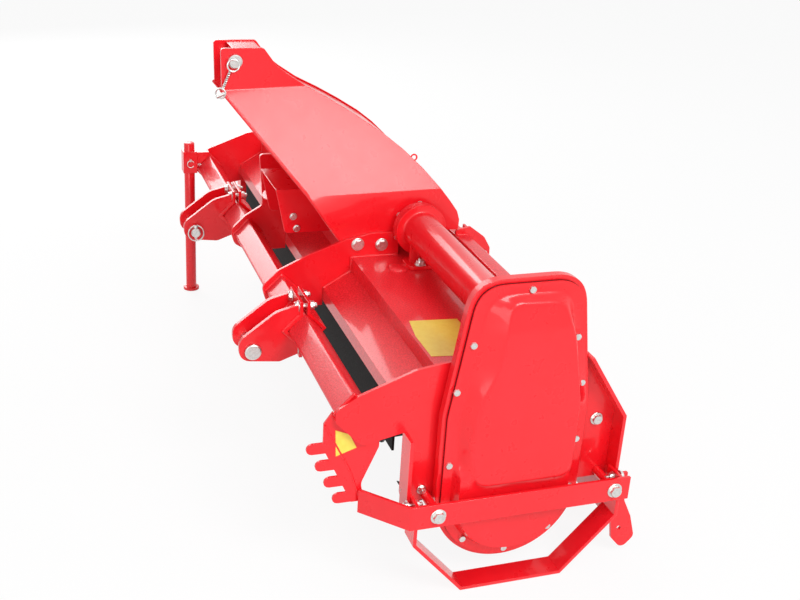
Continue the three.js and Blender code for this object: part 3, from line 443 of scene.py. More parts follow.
def eased(name, surface, width=1.2, segments=2, bevel_angle=40, sharp_angle=50):
    """A copy of a CAD piece with rounded edges, which stands for that piece."""
    source = nodes[name]
    bm = bmesh.new()
    bm.from_mesh(source.data)
    bmesh.ops.remove_doubles(bm, verts=bm.verts, dist=2e-5)
    bmesh.ops.dissolve_limit(
        bm, angle_limit=math.radians(0.6), verts=bm.verts, edges=bm.edges
    )
    mesh = bpy.data.meshes.new(name + "_eased")
    bm.to_mesh(mesh)
    bm.free()
    obj = linked(name + "_eased", mesh)
    edge = obj.modifiers.new("edges", "BEVEL")
    edge.width = width * MM
    edge.segments = segments
    edge.limit_method = "ANGLE"
    edge.angle_limit = math.radians(bevel_angle)
    edge.miter_outer = "MITER_ARC"
    edge.use_clamp_overlap = True
    graph = bpy.context.evaluated_depsgraph_get()
    rounded_mesh = bpy.data.meshes.new_from_object(obj.evaluated_get(graph))
    obj.modifiers.clear()
    bm = bmesh.new()
    bm.from_mesh(rounded_mesh)
    bmesh.ops.triangulate(bm, faces=[f for f in bm.faces if len(f.verts) > 4])
    bm.to_mesh(rounded_mesh)
    bm.free()
    obj.data = rounded_mesh
    shaded(rounded_mesh, sharp_angle)
    weighted(obj)
    return placed(obj, surface, source["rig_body"], [name])


# ---------------------------------------------------------------- sheets and plates from the CAD
PLATES = """end_plate_left end_plate_right hitch_plate_left hitch_plate_right mast_plate_left
mast_plate_right mast_web strap_guard comb_guard board_stop skid_left skid_right rear_clamp_left
rear_clamp_right rear_bracket_left rear_bracket_right shaft_shield tube_saddle
trailing_board lower_bracket_left lower_bracket_right stand_sleeve""".split()
for plate in PLATES:
    eased(plate, paint)
eased("hood", textured, 1.5)
eased("gearbox", textured, 5, 3, 60)
# The black front flap is painted shade: a dark sheet put under the hood so that the gap between
# the front bar and the hood's lip reads as the shade there.
eased("front_flap", rubber_and_painted_shade, 1)
eased("input_shaft", steel, 0.8)


def square_tube(name, y, z, side, wall, corner, half_length, turn):
    """A rolled square section with rounded corners, open at its ends."""

    def ring(x, half, radius):
        made = []
        for quarter in range(4):
            for step in range(6):
                angle = math.radians(90 * quarter + 18 * step)
                base = math.radians(90 * quarter + 45)
                reach = (half - radius) * math.sqrt(2)
                u = reach * math.cos(base) + radius * math.cos(angle)
                v = reach * math.sin(base) + radius * math.sin(angle)
                made.append(
                    (
                        x,
                        y + u * math.cos(turn) - v * math.sin(turn),
                        z + u * math.sin(turn) + v * math.cos(turn),
                    )
                )
        return made

    half = side / 2
    rings = [
        ring(-half_length, half - 1, corner - 1),
        ring(1 - half_length, half, corner),
        ring(half_length - 1, half, corner),
        ring(half_length, half - 1, corner - 1),
        ring(half_length, half - wall, corner / 2),
        ring(-half_length, half - wall, corner / 2),
    ]
    return Shape().loft(rings, closed=True).made(name + "_rolled", textured, "frame", [name])


square_tube("front_bar", *BAR, 60, 6, 7, INNER_X - 0.3, math.radians(45))
square_tube("rear_beam", 160, 542.3, 40, 4, 5, INNER_X - 0.3, 0)


# ---------------------------------------------------------------- turned parts
def drive_tube():
    y, z = ROTOR[0], DRIVE_Z
    section = [
        (240.3, 43),
        (240.3, 67),
        (241.3, 68),
        (254.3, 68),
        (255.3, 67),
        (255.6, 52),
        (257.5, 49.2),
        (261, 48),
        (866, 48),
        (869, 49.5),
        (871.7, 53),
        (871.7, 43),
    ]
    tube = Shape().turned((0, y, z), (1, 0, 0), section, 72, closed=True)
    tube.made("side_drive_tube_round", paint, "frame", ["side_drive_tube"], 40)
    bolts = Shape()
    for i in range(6):
        angle = math.radians(60 * i + 27)
        v = 61 * math.sin(angle)
        u = 61 * math.cos(angle)
        bolts.bolt((225, y + u, z + v), (-1, 0, 0), 9, washer=False)
    bolts.made("drive_flange_bolts", zinc, "frame")


def bearing():
    y, z = ROTOR
    section = [
        (PLATE_FACE, 20.4),
        (PLATE_FACE, 61),
        (881.3, 62),
        (891.3, 62),
        (892.8, 60),
        (893.3, 50),
        (896, 46.6),
        (912, 46),
        (914.3, 43),
        (914.3, 26),
        (904, 24),
        (904, 20.4),
    ]
    housing = Shape().turned((0, y, z), (-1, 0, 0), section, 64, closed=True)
    housing.made("bearing_housing_round", textured, "frame", ["bearing_housing"], 40)
    bolts = Shape()
    for i in range(6):
        angle = math.radians(60 * i + 30)
        at = (-892.6, y + 55 * math.cos(angle), z + 55 * math.sin(angle))
        bolts.bolt(at, (-1, 0, 0), 7, washer=False)
    bolts.turned((-900, y, z + 44), (0, 0, 1), [(0, 3), (4, 3), (5, 2), (8, 2), (9.5, 1)], 12)
    bolts.made("bearing_bolts", zinc, "frame")


def rotor_shaft():
    y, z = ROTOR
    section = [
        (-900, 17),
        (-898, 20),
        (-850, 20),
        (-850, 36),
        (-848, 38),
        (848, 38),
        (850, 36),
        (850, 20),
        (898, 20),
        (900, 17),
    ]
    shaft = Shape().turned((0, y, z), (1, 0, 0), section, 48)
    shaft.made("rotor_tube_round", black, "rotor", ["rotor_tube"])


def stand():
    x, y = STAND_X, STAND_Y
    section = [
        (0, 25),
        (0.8, 27),
        (8.5, 27),
        (10, 25.5),
        (10.6, 20),
        (13, 17.8),
        (20, 17.5),
        (529, 17.5),
        (532.5, 16),
        (534, 12),
    ]
    Shape().turned((x, y, 0), (0, 0, 1), section, 48).made(
        "stand_leg_round", paint, "stand_leg", ["stand_leg"]
    )
    pin = Shape()
    pin.turned((x + 23, y, 478), (1, 0, 0), [(-1, 4.5), (8, 4.5), (9, 3.5)], 16)
    pin.turned((x - 23, y, 478), (-1, 0, 0), [(-1, 7.5), (3, 7.5), (4, 6.5)], 20)
    ring = []
    for i in range(25):
        angle = math.radians(-60 + 300 * i / 24)
        ring.append((x + 29, y - 11 * math.sin(angle), 478 - 12 + 12 * math.cos(angle)))
    pin.swept(ring, 1.4, 8)
    pin.made("stand_pin", zinc, "frame")


leg_low, leg_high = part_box("stand_leg")
STAND_Y = ((leg_low.y + leg_high.y) / 2 - ORIGIN.y) / MM
drive_tube()
bearing()
rotor_shaft()
stand()
Shape().turned(
    (0, *HINGE), (1, 0, 0), [(-858, 6.5), (-856.5, 8), (856.5, 8), (858, 6.5)], 24
).made("hinge_rod_round", zinc, "frame", ["hinge_rod"])


# ---------------------------------------------------------------- link pins and their clips
def link_pin(name, node_name, x_head, x_end, y, z, radius, head_radius, head_height):
    """A pin with a chamfered end and a turned head."""
    sign = 1 if x_head > x_end else -1
    length = abs(x_head - x_end)
    profile = [
        (0, radius - 3),
        (3, radius),
        (length, radius),
        (length, head_radius - 0.8),
        (length + 0.8, head_radius),
        (length + head_height - 2, head_radius),
        (length + head_height, head_radius - 2.5),
        (length + head_height + 0.1, 4),
    ]
    pin = Shape().turned((x_end, y, z), (sign, 0, 0), profile, 40)
    return pin.made(name, zinc, "frame", [node_name])


def lynch_pin(shape, x, y, z, span):
    """A peg across the pin's end with its spring ring swung round it."""
    peg = [(0, 3), (1, 4), (2 * span, 4), (2 * span + 3, 2.5)]
    shape.turned((x, y, z + span), (0, 0, -1), peg, 14)
    shape.turned((x, y, z + span), (0, 0, 1), [(-1, 7), (6, 7), (7.5, 5.5)], 18)
    reach = span + 6
    ring = []
    for i in range(41):
        angle = math.radians(8 + 344 * i / 40)
        ring.append(
            (x + 9 * math.sin(angle / 2), y + reach * math.sin(angle), z + reach * math.cos(angle))
        )
    shape.swept(ring, 1.9, 10)


link_pin("top_link_pin_turned", "top_link_pin", 54.3, -68, *TOP_PIN, 12.7, 17.7, 13.5)
for side, sign in (("left", 1), ("right", -1)):
    link_pin(
        "lower_pin_turned_" + side,
        "lower_pin_" + side,
        sign * 457.8,
        sign * 349.5,
        *LOWER_PIN,
        14,
        20,
        8.9,
    )
clips = Shape()
lynch_pin(clips, 356, *LOWER_PIN, 17)
lynch_pin(clips, -356, *LOWER_PIN, 17)
lynch_pin(clips, -62, *TOP_PIN, 15)
clips.made("lynch_pins", zinc, "frame")


def head_clip():
    """The ring on the top pin's head, and the twisted wire that hangs from it."""
    x, y, z = 71.0, -432.0, 1008.0
    clip = Shape()
    ring = [
        (x - 1.5, y - 6 + 15 * math.sin(a), z - 8 + 15 * math.cos(a))
        for a in (math.radians(360 * i / 36) for i in range(36))
    ]
    clip.swept(ring, 2.1, 8, closed=True)
    for strand in (0, math.pi):
        path = []
        for i in range(61):
            share = i / 60
            turn = strand + share * 9 * math.pi
            path.append(
                (
                    x - 4 + 3.4 * math.cos(turn),
                    y - 14 - 18 * share + 3.4 * math.sin(turn) * 0.8,
                    z - 22 - 46 * share + 3.4 * math.sin(turn) * 0.5,
                )
            )
        clip.swept(path, 2.0, 8)
    loop = [
        (x - 4 + 4 * math.sin(a), y - 38 + 12 * math.sin(a), z - 78 + 13 * math.cos(a))
        for a in (math.radians(360 * i / 36) for i in range(36))
    ]
    clip.swept(loop, 2.2, 8, closed=True)
    clip.turned((x - 4, y - 26, z - 78), (0, -1, -0.4), [(0, 3), (2, 4.5), (24, 4.5), (26, 3)], 14)
    clip.made("top_pin_clip", zinc, "frame")


def mast_hook():
    """The small curled wire holder on the mast's back edge."""
    hook = Shape()
    path = []
    for i in range(33):
        angle = math.radians(-70 + 290 * i / 32)
        path.append((150, 27 + 8 * math.cos(angle), 768 + 8 * math.sin(angle)))
    hook.swept(path, 2.2, 10)
    hook.made("mast_hook", paint, "frame")


head_clip()
mast_hook()


# ---------------------------------------------------------------- bolts
def bolted():
    hitch = Shape()
    for y, z in ((-138, 558), (-72, 553)):
        hitch.through((214.6, y, z), (195.7, y, z), 14)
        hitch.through((-214.6, y, z), (-195.7, y, z), 14)
    for sign in (1, -1):
        for x in (380, 445):
            for z in (501, 389):
                hitch.through((sign * x, -354.2, z), (sign * x, -327.8, z), 12)
    for y, z in ((-282, 600), (-272, 566)):
        hitch.bolt((92.3, y, z), (1, 0, 0), 8)
        hitch.bolt((-92.3, y, z), (-1, 0, 0), 8)
    hitch.nut((319, 0, 532.6), (0, 0, 1), 12, 6)
    hitch.nut((275, 64, 532.6), (0, 0, 1), 12, 6)
    hitch.nut((319, 64, 532.6), (0, 0, 1), 12, 6)
    for x in (-148, 148):
        for y in (-95, 90):
            hitch.bolt((x, y, 534.5), (0, 0, 1), 14)
    hitch.made("frame_bolts", zinc, "frame")

    case = Shape()
    face = 919.7
    spots = [
        (22, 719),
        (-100, 601),
        (-129, 493),
        (-132, 312),
        (143, 598),
        (168, 484),
        (173, 340),
        (172, 215),
        (-128, 205),
        (-84, 112),
        (22, 69),
        (128, 112),
    ]
    for y, z in spots:
        case.bolt((face, y, z), (1, 0, 0), 8.5, washer=False)
    for y, z in ((-216, 238), (-176, 232)):
        case.nut((880.2, y, z), (1, 0, 0), 9, 5)
    case.bolt((880.2, 243, 360), (1, 0, 0), 12.5)
    case.made("case_bolts", zinc, "frame")

    guard = Shape()
    for y in (-168, 263):
        guard.bolt((970.3, y, 219), (1, 0, 0), 14.5)
        guard.nut((872, y, 219), (-1, 0, 0), 14.5, 4)
    for sign in (1, -1):
        for z in (196, 230):
            guard.through((sign * 932, -226.4, z), (sign * 932, -209.8, z), 10)
            guard.through((sign * 932, 294.5, z), (sign * 932, 277.8, z), 10)
    guard.made("guard_bolts", zinc, "frame")


bolted()


# ---------------------------------------------------------------- welds
HOOD_EDGE = [(-228, 440), (-153, 484), (-153, 522), (185, 522)]


def welds():
    bead = Shape()
    circle = [math.radians(10 * i) for i in range(37)]
    reach = 42.4  # half the bar's width across its corners
    bar_square = [
        (BAR[0] - reach, BAR[1]),
        (BAR[0], BAR[1] + reach),
        (BAR[0] + reach, BAR[1]),
        (BAR[0], BAR[1] - reach),
    ]
    for x in (215, 203.8, -203.8, -215):
        bead.weld([(x, *p) for p in bar_square[:3]], 4)
    for x in (871, -871):
        bead.weld([(x, *p) for p in bar_square + bar_square[:1]], 4)
    for x in (215.2, -215.2):
        bead.weld([(x, -228, 441), (x, -153.5, 484.5), (x, -153.5, 522.5), (x, -26, 522.5)], 5)
    for x in (871.2, -871.2):
        bead.weld([(x, *p) for p in HOOD_EDGE], 3.5)
        if x > 0:
            foot = [(ROTOR[0] + 52 * math.cos(a), DRIVE_Z + 52 * math.sin(a)) for a in circle]
            bead.weld([(x, *p) for p in foot], 3.5)
    for sign in (1, -1):
        for face in (367, 380, 445, 458):
            x = sign * face
            bead.weld([(x, -354, 486), (x, -395, 445), (x, -354, 404)], 3.5)
        for face in (147, 155, 199, 207):
            x = sign * face
            bead.weld([(x, 180.5, 560), (x, 180.5, 525)], 3)
            if face == 207:
                bead.weld([(x, 144, 562.8), (x, 179, 562.8)], 3)
    for x in (-857, -835):
        bead.weld([(x, STAND_Y + 23.2, 464), (x, STAND_Y + 23.2, 498)], 3)
    bead.weld([(282, -16, 532.6), (282, 60, 532.6)], 3)
    bead.weld([(294, -16, 532.6), (294, 60, 532.6)], 3)
    for y in (140, 180):
        bead.weld([(-868, y, 522.5), (-215, y, 522.5)], 3)
        bead.weld([(215, y, 522.5), (868, y, 522.5)], 3)
    bead.made("weld_beads", paint, "frame", sharp_angle=70)
    rim = Shape()
    for sign in (1, -1):
        edge = [(52, -466, 933), (200, -271, 692), (200, -187, 572), (200, -153, 537)]
        rim.swept([(sign * x, y, z) for x, y, z in edge], 4.6, 14)
    rim.made("mast_front_rims", paint, "frame", sharp_angle=60)


welds()


# ---------------------------------------------------------------- rotor blades
def blade(shape, x, direction, turn):
    """A curved blade. Its shank leans back; its tip bends along the rotor and is ground sharp."""
    inner, bend, outer, reach = 52.0, 168.0, 201.0, 47.0
    radius = outer - bend
    near = x + direction * 8.5
    steps = 34
    flat = bend - inner
    arc = math.pi / 2 * radius
    run = reach - radius + 2
    total = flat + arc + run
    rings = []
    for i in range(steps + 1):
        s = total * i / steps
        if s < flat:
            r, along, tilt = inner + s, 0.0, 0.0
        elif s < flat + arc:
            tilt = (s - flat) / radius
            r = bend + radius * math.sin(tilt)
            along = radius * (1 - math.cos(tilt))
        else:
            tilt = math.pi / 2
            r, along = outer, radius + s - flat - arc
        share = s / total
        sweep = -34 * share**2
        half = 23 - 5 * share**3
        if share > 0.9:
            half *= math.sqrt(max(0.12, 1 - ((share - 0.9) / 0.12) ** 2))
        thick = 4.0
        radial, axial = math.cos(tilt), math.sin(tilt)
        edge = 9 * min(1, max(0, (share - 0.35) * 4))
        section = [
            (-half, -thick + 0.4),
            (-half, -thick + 1.2),
            (-half + edge + 0.6, thick),
            (half - 1, thick),
            (half, thick - 1),
            (half, -thick + 1),
            (half - 1, -thick),
            (-half + 0.6, -thick),
        ]
        ring = []
        for t, n in section:
            rr = r - n * axial
            xx = near + direction * (along + n * radial)
            tt = t + sweep
            ring.append(
                (
                    xx,
                    ROTOR[0] + rr * math.cos(turn) - tt * math.sin(turn),
                    ROTOR[1] + rr * math.sin(turn) + tt * math.cos(turn),
                )
            )
        rings.append(ring)
    shape.loft(rings)


RING_TWIST = math.radians(15)  # from one ring to the next
for index in range(8):
    low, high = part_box(f"blade_ring_{index + 1}")
    x = ((low.x + high.x) / 2 - ORIGIN.x) / MM
    ring = Shape()
    section = [(-5, 38.3), (-5, 91), (-4, 92), (4, 92), (5, 91), (5, 38.3)]
    ring.turned((x, *ROTOR), (1, 0, 0), section, 48, closed=True)
    ring.turned(
        (x, *ROTOR), (1, 0, 0), [(-9, 38.3), (-9, 42), (-4.8, 46), (-4.8, 38.3)], 48, closed=True
    )
    fixings = Shape()
    for i in range(6):
        turn = math.radians(60 * i) + RING_TWIST * (index - 1)
        direction = 1 if i % 2 else -1
        blade(ring, x, direction, turn)
        for r, t in ((64, -10), (80, 8)):
            y = ROTOR[0] + r * math.cos(turn) - t * math.sin(turn)
            z = ROTOR[1] + r * math.sin(turn) + t * math.cos(turn)
            fixings.bolt((x + direction * 12.5, y, z), (direction, 0, 0), 12, washer=False)
            fixings.nut((x - direction * 5, y, z), (-direction, 0, 0), 12, 4)
    number = str(index + 1)
    ring.made("blades_" + number, black, "rotor", ["blade_ring_" + number], 32)
    fixings.made("blade_bolts_" + number, steel, "rotor")


# ---------------------------------------------------------------- spring rods
ROD_PIN = (228.0, 506.0)
GUIDE = (400.0, 190.0)
RUN = Vector((0, GUIDE[0] - ROD_PIN[0], GUIDE[1] - ROD_PIN[1]))
ROD_LENGTH = RUN.length
DOWN = RUN.normalized()
COLLAR_END = 270.6  # along the rod, where the coil starts
COIL_RADIUS = 15.2
COIL_WIRE = 2.0  # the wire's radius
COIL_TURNS = 5.0
COIL_EASE = 0.1  # share of the coil's run over which an end turn flattens


def coil_rise(share):
    """How far along the coil the wire has come, with its first and last turns closed up."""
    if share < COIL_EASE:
        rise = share * share / (2 * COIL_EASE)
    elif share > 1 - COIL_EASE:
        rise = 1 - (1 - share) ** 2 / (2 * COIL_EASE) - COIL_EASE
    else:
        rise = share - COIL_EASE / 2
    return rise / (1 - COIL_EASE)


def spring_rod(side, sign):
    x = sign * 177.0
    top = Vector((x, *ROD_PIN))
    rod = Shape()
    eye = [(-12, 8.3), (-12, 13.5), (-10.5, 15), (10.5, 15), (12, 13.5), (12, 8.3)]
    rod.turned(top, (1, 0, 0), eye, 36, True)
    rod.turned(top, (1, 0, 0), [(-38, 6.5), (-36.5, 8), (36.5, 8), (38, 6.5)], 28)
    end = ROD_LENGTH + 4 + 34
    profile = [(13, 6), (14.5, 8), (ROD_LENGTH + 18, 8)]
    thread = int((end - ROD_LENGTH - 20) / 1.0)
    for i in range(thread):
        profile.append((ROD_LENGTH + 18.5 + i, 7.9 if i % 2 else 7.1))
    profile.append((end, 6))
    rod.turned(top, DOWN, profile, 24)
    collar = [(262, 8.2), (262, 17), (263, 18), (269, 18), (270, 17), (270, 8.2)]
    rod.turned(top, DOWN, collar, 36, closed=True)
    rod.hex_head(top + DOWN * (ROD_LENGTH + 4.4), DOWN, 17.2, 13.5)
    rod.washer(top + DOWN * (ROD_LENGTH + 4.2), DOWN, 18, 8.2, 1.0)
    name = "spring_rod_" + side
    rod.made("rod_" + side, zinc, name, [name])

    coil = Shape()
    high, low = COLLAR_END, ROD_LENGTH - 4.4
    steps = 190
    path = []
    _, first, second = axes_of(DOWN)
    for i in range(steps + 1):
        share = i / steps
        along = high + COIL_WIRE + (low - high - 2 * COIL_WIRE) * coil_rise(share)
        angle = 2 * math.pi * COIL_TURNS * share
        out = first * math.cos(angle) + second * math.sin(angle)
        path.append(top + DOWN * along + out * COIL_RADIUS)
    coil.swept(path, COIL_WIRE, 10)
    name = "board_spring_" + side
    body = nodes[name]["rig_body"]
    made = coil.made("coil_spring_" + side, steel, body, [name], 60)
    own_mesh(made)


spring_rod("left", 1)
spring_rod("right", -1)


# ---------------------------------------------------------------- the gear case's pressed cover
def rounded(points, steps=8):
    """A closed outline with its marked corners rounded."""
    made = []
    for i, corner in enumerate(points):
        here = Vector(corner[:2])
        radius = corner[2] if len(corner) > 2 else 0
        if not radius:
            made.append(here)
            continue
        before = Vector(points[i - 1][:2]) - here
        after = Vector(points[(i + 1) % len(points)][:2]) - here
        half = before.angle(after) / 2
        reach = min(radius / math.tan(half), 0.48 * min(before.length, after.length))
        start = here + before.normalized() * reach
        end = here + after.normalized() * reach
        for k in range(steps + 1):
            t = k / steps
            made.append((start * (1 - t) + here * t) * (1 - t) + (here * (1 - t) + end * t) * t)
    return made


def case_outline(grow):
    """The gear case's outline, moved outwards by grow."""
    low, high, top = 165 + grow, 118 + grow, 733 + grow
    arc = []
    for i in range(41):
        angle = math.pi + math.pi * i / 40
        arc.append((ROTOR[0] + low * math.cos(angle), ROTOR[1] + low * math.sin(angle)))
    corners = [
        (ROTOR[0] + low, 430, 60),
        (ROTOR[0] + high, top, 70 + grow),
        (ROTOR[0] - high, top, 70 + grow),
        (ROTOR[0] - low, 430, 60),
    ]
    return rounded(arc + corners, 12)


def spaced(outline, count):
    """The outline as evenly spaced points, starting from its own first point."""
    lengths = [0.0]
    ring = outline + outline[:1]
    for a, b in zip(ring, ring[1:]):
        lengths.append(lengths[-1] + (b - a).length)
    made = []
    k = 0
    for i in range(count):
        target = lengths[-1] * i / count
        while lengths[k + 1] < target:
            k += 1
        t = (target - lengths[k]) / (lengths[k + 1] - lengths[k])
        made.append(ring[k].lerp(ring[k + 1], t))
    return made


def distance_in(outline, point):
    """Distance to an outline, positive inside it."""
    best = 1e9
    inside = False
    for a, b in zip(outline, outline[1:] + outline[:1]):
        edge = b - a
        t = max(0.0, min(1.0, (point - a).dot(edge) / (edge.length_squared or 1)))
        best = min(best, (point - a - edge * t).length)
        if (a.y > point.y) != (b.y > point.y):
            cross = a.x + (point.y - a.y) / (b.y - a.y) * edge.x
            if point.x < cross:
                inside = not inside
    return best if inside else -best


def smooth(t):
    t = max(0.0, min(1.0, t))
    return t * t * (3 - 2 * t)


CREASE_Z = 634  # above it the pressed panel slopes back


def gear_cover():
    panel = rounded(
        [
            (-28, 700, 26),
            (92, 694, 40),
            (126, 612, 30),
            (158, 450, 60),
            (158, 262, 34),
            (-74, 262, 40),
            (-97, 372, 60),
            (-80, 480, 60),
            (-48, 545, 60),
        ],
        6,
    )
    base = case_outline(-24)[::2]
    lower = case_outline(-31)[::2]
    back, face, depth = 915.7, 919.6, 29.8
    fold = 4.0  # the press tool's edge radius, nearly

    def ramp(d, gap):
        """1 inside the panel, 0 beyond the gap, and rounded at both ends of the slope between."""
        if d <= -fold:
            return 1.0
        if d < fold:
            return 1 - (d + fold) ** 2 / (4 * fold * gap)
        if d <= gap - fold:
            return 1 - d / gap
        return max(0.0, gap + fold - d) ** 2 / (4 * fold * gap) if d < gap + fold else 0.0

    def height(p):
        to_base = distance_in(base, p)
        if to_base <= -fold:
            return 0.0
        outside = -distance_in(panel, p)
        mix = smooth((p.y - 262) / 30)
        side_gap = max(2.2 * fold, to_base + outside)
        gap = side_gap * mix + min(20.0, side_gap) * (1 - mix)
        high = ramp(outside, gap)
        if p.y < 330:
            to_lower = distance_in(lower, p)
            shelf = 1.0 if to_lower >= 0 else ramp(-to_lower, 8.8)
            high = max(high, 0.84 * shelf * smooth((330 - p.y) / 50))
        back_slope = 8.5 * max(0.0, min(1.0, (p.y - CREASE_Z) / 62))
        return (depth - back_slope) * high

    count = 168
    outline = spaced(case_outline(0), count)
    low_end, high_end = Vector((28, 300)), Vector((34, 590))
    spine = high_end - low_end

    def crossing(p, q, outline_in, offset):
        """How far from p to q the distance inside an outline first passes an offset."""
        near, far = 0.0, 1.0
        for _ in range(14):
            middle = (near + far) / 2
            if distance_in(outline_in, p.lerp(q, middle)) > offset:
                far = middle
            else:
                near = middle
        return near

    columns = []
    for p in outline:
        t = max(0.0, min(1.0, (p - low_end).dot(spine) / spine.length_squared))
        q = low_end + spine * t
        length = (q - p).length
        step = fold / length
        foot = crossing(p, q, base, 0)
        edge = crossing(p, q, panel, 0)
        shelf = min(max(crossing(p, q, lower, 0), foot + 2 * step), edge - 3 * step)
        rise = min(max(crossing(p, q, panel, -20), shelf + step), edge - 2 * step)
        marks = [0.0, foot - step, foot, foot + step, shelf - step / 2, shelf, shelf + step / 2]
        marks += [shelf + (rise - shelf) * k / 5 for k in range(1, 5)]
        marks += [rise, rise + step, edge - step, edge - step / 3, edge + step / 3, edge + step]
        marks += [edge + step + (0.93 - edge - step) * k / 12 for k in range(1, 13)]
        for k in range(1, len(marks)):
            marks[k] = max(marks[k], marks[k - 1] + 0.003)
        column = [(back, p.x, p.y), (face - 1, p.x, p.y)]
        for m in marks:
            at = p.lerp(q, m)
            column.append((face + height(at), at.x, at.y))
        columns.append(column)
    cover = Shape().loft(list(zip(*columns)))
    bmesh.ops.poke(cover.bm, faces=[f for f in cover.bm.faces if len(f.verts) > 4])
    cover.made("gear_case_cover_pressed", paint, "frame", ["gear_case_cover"], 50)


def case_ring(name, replaced, surface, section):
    """A hollow body round the gear case: section holds (x, how far outside the case's line)."""
    count = 170
    rings = []
    for x, grow in section:
        rings.append([(x, p.x, p.y) for p in spaced(case_outline(grow), count)])
    Shape().loft(rings, closed=True).made(name, surface, "frame", [replaced], 40)


gear_cover()
case_ring(
    "gear_case_housing_round",
    "gear_case_housing",
    paint,
    [
        (PLATE_FACE, -4),
        (887, -4),
        (889, -2),
        (890, 8.5),
        (891.5, 10),
        (910.5, 10),
        (912, 8.5),
        (912, -14),
        (PLATE_FACE, -14),
    ],
)
case_ring(
    "gear_case_gasket_cut",
    "gear_case_gasket",
    rubber_and_painted_shade,
    [(912.3, -0.6), (913, 0.4), (914.6, 0.4), (915.3, -0.6), (915.3, -14), (912.3, -14)],
)


# ---------------------------------------------------------------- small plates and plugs
def small_plates():
    plug = Shape().turned(
        (309, -55, DECK_TOP), (0, 0, 1), [(-1, 27), (2, 27), (4.5, 25), (6, 20), (6.5, 0.5)], 40
    )
    plug.made("deck_plug", textured, "frame", sharp_angle=60)
    outline = [
        (621, -134),
        (632, -18),
        (690, -18),
        (770, -62),
        (812, -92),
        (804, -146),
        (700, -146),
    ]
    sheet = Shape().slab(outline, (0, 0, DECK_TOP - 0.1), (0, 0, 1), (0, 1, 0), 0.7, 0.2)
    sheet.made("deck_label", label, "frame")
    corners = [(-377, 402), (-374, 337), (-328, 353), (-345, 388)]
    tag = Shape().slab(corners, (866.2, 0, 0), (1, 0, 0), (0, 0, 1), 0.7, 0.2)
    tag.made("comb_label", label, "frame")
    ridge = Shape()
    path = [(866.1, -400, 416), (866.1, -341, 299), (866.1, -315, 221)]
    ridge.swept(path, 2.2, 10)
    ridge.made("comb_crease", paint, "frame", sharp_angle=60)


small_plates()


# ---------------------------------------------------------------- gearbox details
def gearbox_details():
    ribs = Shape()
    for x in (-80, -40, 0, 40, 80):
        outline = [(-92, 534), (-92, 640), (-58, 682), (92, 682), (112, 642), (112, 534)]
        ribs.slab(outline, (x - 3, 0, 0), (1, 0, 0), (0, 0, 1), 6, 1)
    ribs.made("gearbox_ribs", textured, "frame")
    plugs = Shape()
    plugs.turned((60, 40, 681), (0, 0, 1), [(-1, 14), (3, 14), (4, 12), (8, 12)], 32)
    plugs.hex_head((60, 40, 688), (0, 0, 1), 12, 7)
    for i in range(8):
        angle = math.radians(45 * i + 22.5)
        c, s = math.cos(angle), math.sin(angle)
        plugs.bolt((-159.6, ROTOR[0] + 44 * c, DRIVE_Z + 44 * s), (-1, 0, 0), 8, False)
        plugs.bolt((50 * c, -169.6, DRIVE_Z + 50 * s), (0, -1, 0), 8, False)
    plugs.made("gearbox_bolts", zinc, "frame")


gearbox_details()

# ---------------------------------------------------------------- floor, light and camera
WHITE = (1, 1, 1, 1)
PHOTO_WIDTH = 800  # in pixels
FOCAL_LENGTH = 1144.9  # in pixels of the photograph
SENSOR_WIDTH = 36
CAMERA_AT = (2.88005, -0.95752, 1.6472)
CAMERA_TURN = (2.788, -0.417, 0.065)  # yaw, pitch and roll in radians


def seen_directly(tree):
    """1 for rays from the camera, from a mirror or through glass, and 0 for the rest."""
    path = tree.nodes.new("ShaderNodeLightPath")
    total = path.outputs["Is Camera Ray"]
    for name in ("Is Glossy Ray", "Is Transmission Ray"):
        made = node(tree, "ShaderNodeMath", operation="MAXIMUM")
        tree.links.new(total, made.inputs[0])
        tree.links.new(path.outputs[name], made.inputs[1])
        total = made.outputs[0]
    return total


def make_world():
    world = bpy.data.worlds.new("studio")
    bpy.context.scene.world = world
    world.use_nodes = True
    tree = world.node_tree
    tree.nodes.clear()
    soft = node(tree, "ShaderNodeBackground", Color=WHITE, Strength=0.55)
    backdrop = node(tree, "ShaderNodeBackground", Color=WHITE, Strength=1.0)
    mix = tree.nodes.new("ShaderNodeMixShader")
    tree.links.new(seen_directly(tree), mix.inputs[0])
    tree.links.new(soft.outputs[0], mix.inputs[1])
    tree.links.new(backdrop.outputs[0], mix.inputs[2])
    out = tree.nodes.new("ShaderNodeOutputWorld")
    tree.links.new(mix.outputs[0], out.inputs[0])


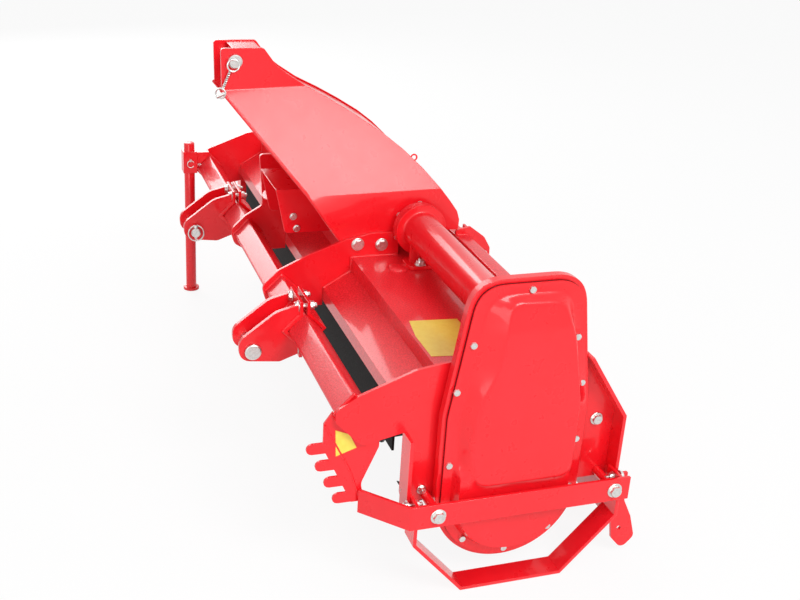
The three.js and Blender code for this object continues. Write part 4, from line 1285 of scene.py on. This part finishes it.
def make_floor():
    surface = bpy.data.materials.new("floor")
    surface.use_nodes = True
    tree = surface.node_tree
    tree.nodes.clear()
    where = tree.nodes.new("ShaderNodeTexCoord").outputs["Object"]
    matt = tree.nodes.new("ShaderNodeBsdfDiffuse")
    tint = blended(tree, grain(tree, where, 3), (0.86, 0.86, 0.86), (0.9, 0.9, 0.9))
    tree.links.new(tint, matt.inputs["Color"])
    bright = node(tree, "ShaderNodeEmission", Color=WHITE, Strength=1.0)
    share = node(tree, "ShaderNodeMath", operation="MULTIPLY")
    share.inputs[1].default_value = 0.9
    tree.links.new(seen_directly(tree), share.inputs[0])
    mix = tree.nodes.new("ShaderNodeMixShader")
    tree.links.new(share.outputs[0], mix.inputs[0])
    tree.links.new(matt.outputs[0], mix.inputs[1])
    tree.links.new(bright.outputs[0], mix.inputs[2])
    out = tree.nodes.new("ShaderNodeOutputMaterial")
    tree.links.new(mix.outputs[0], out.inputs[0])
    bm = bmesh.new()
    bmesh.ops.create_grid(bm, x_segments=8, y_segments=8, size=30)
    mesh = bpy.data.meshes.new("floor")
    bm.to_mesh(mesh)
    bm.free()
    floor = linked("floor", mesh)
    floor.location.z = -0.001
    mesh.materials.append(surface)


def softbox(name, at, target, size, radiance):
    lamp = bpy.data.lights.new(name, "AREA")
    lamp.shape = "SQUARE"
    lamp.size = size
    lamp.energy = radiance * math.pi * size * size
    obj = bpy.data.objects.new(name, lamp)
    bpy.context.scene.collection.objects.link(obj)
    obj.location = at
    obj.rotation_euler = (Vector(target) - Vector(at)).to_track_quat("-Z", "Y").to_euler()


def make_camera():
    data = bpy.data.cameras.new("camera")
    data.sensor_width = SENSOR_WIDTH
    data.lens = SENSOR_WIDTH * FOCAL_LENGTH / PHOTO_WIDTH
    data.clip_end = 200
    yaw, pitch, roll = CAMERA_TURN
    ahead = Vector(
        (math.cos(pitch) * math.cos(yaw), math.cos(pitch) * math.sin(yaw), math.sin(pitch))
    )
    right = ahead.cross(Vector((0, 0, 1))).normalized()
    up = right.cross(ahead)
    across = right * math.cos(roll) + up * math.sin(roll)
    upward = up * math.cos(roll) - right * math.sin(roll)
    turn = Matrix((across, upward, -ahead)).transposed().to_4x4()
    obj = bpy.data.objects.new("camera", data)
    bpy.context.scene.collection.objects.link(obj)
    obj.matrix_world = Matrix.Translation(CAMERA_AT) @ turn
    bpy.context.scene.camera = obj


make_world()
make_floor()
softbox("key", (3.4, 0.75, 3.3), (0.1, -0.1, 0.7), 1.9, 9.0)
softbox("far", (-4.4, -1.0, 2.5), (0.3, 0, 0.5), 3.2, 4.5)
softbox("front", (4.6, -2.6, 1.3), (0.2, 0, 0.5), 2.2, 2.6)
make_camera()
bpy.context.scene.view_settings.view_transform = "Standard"
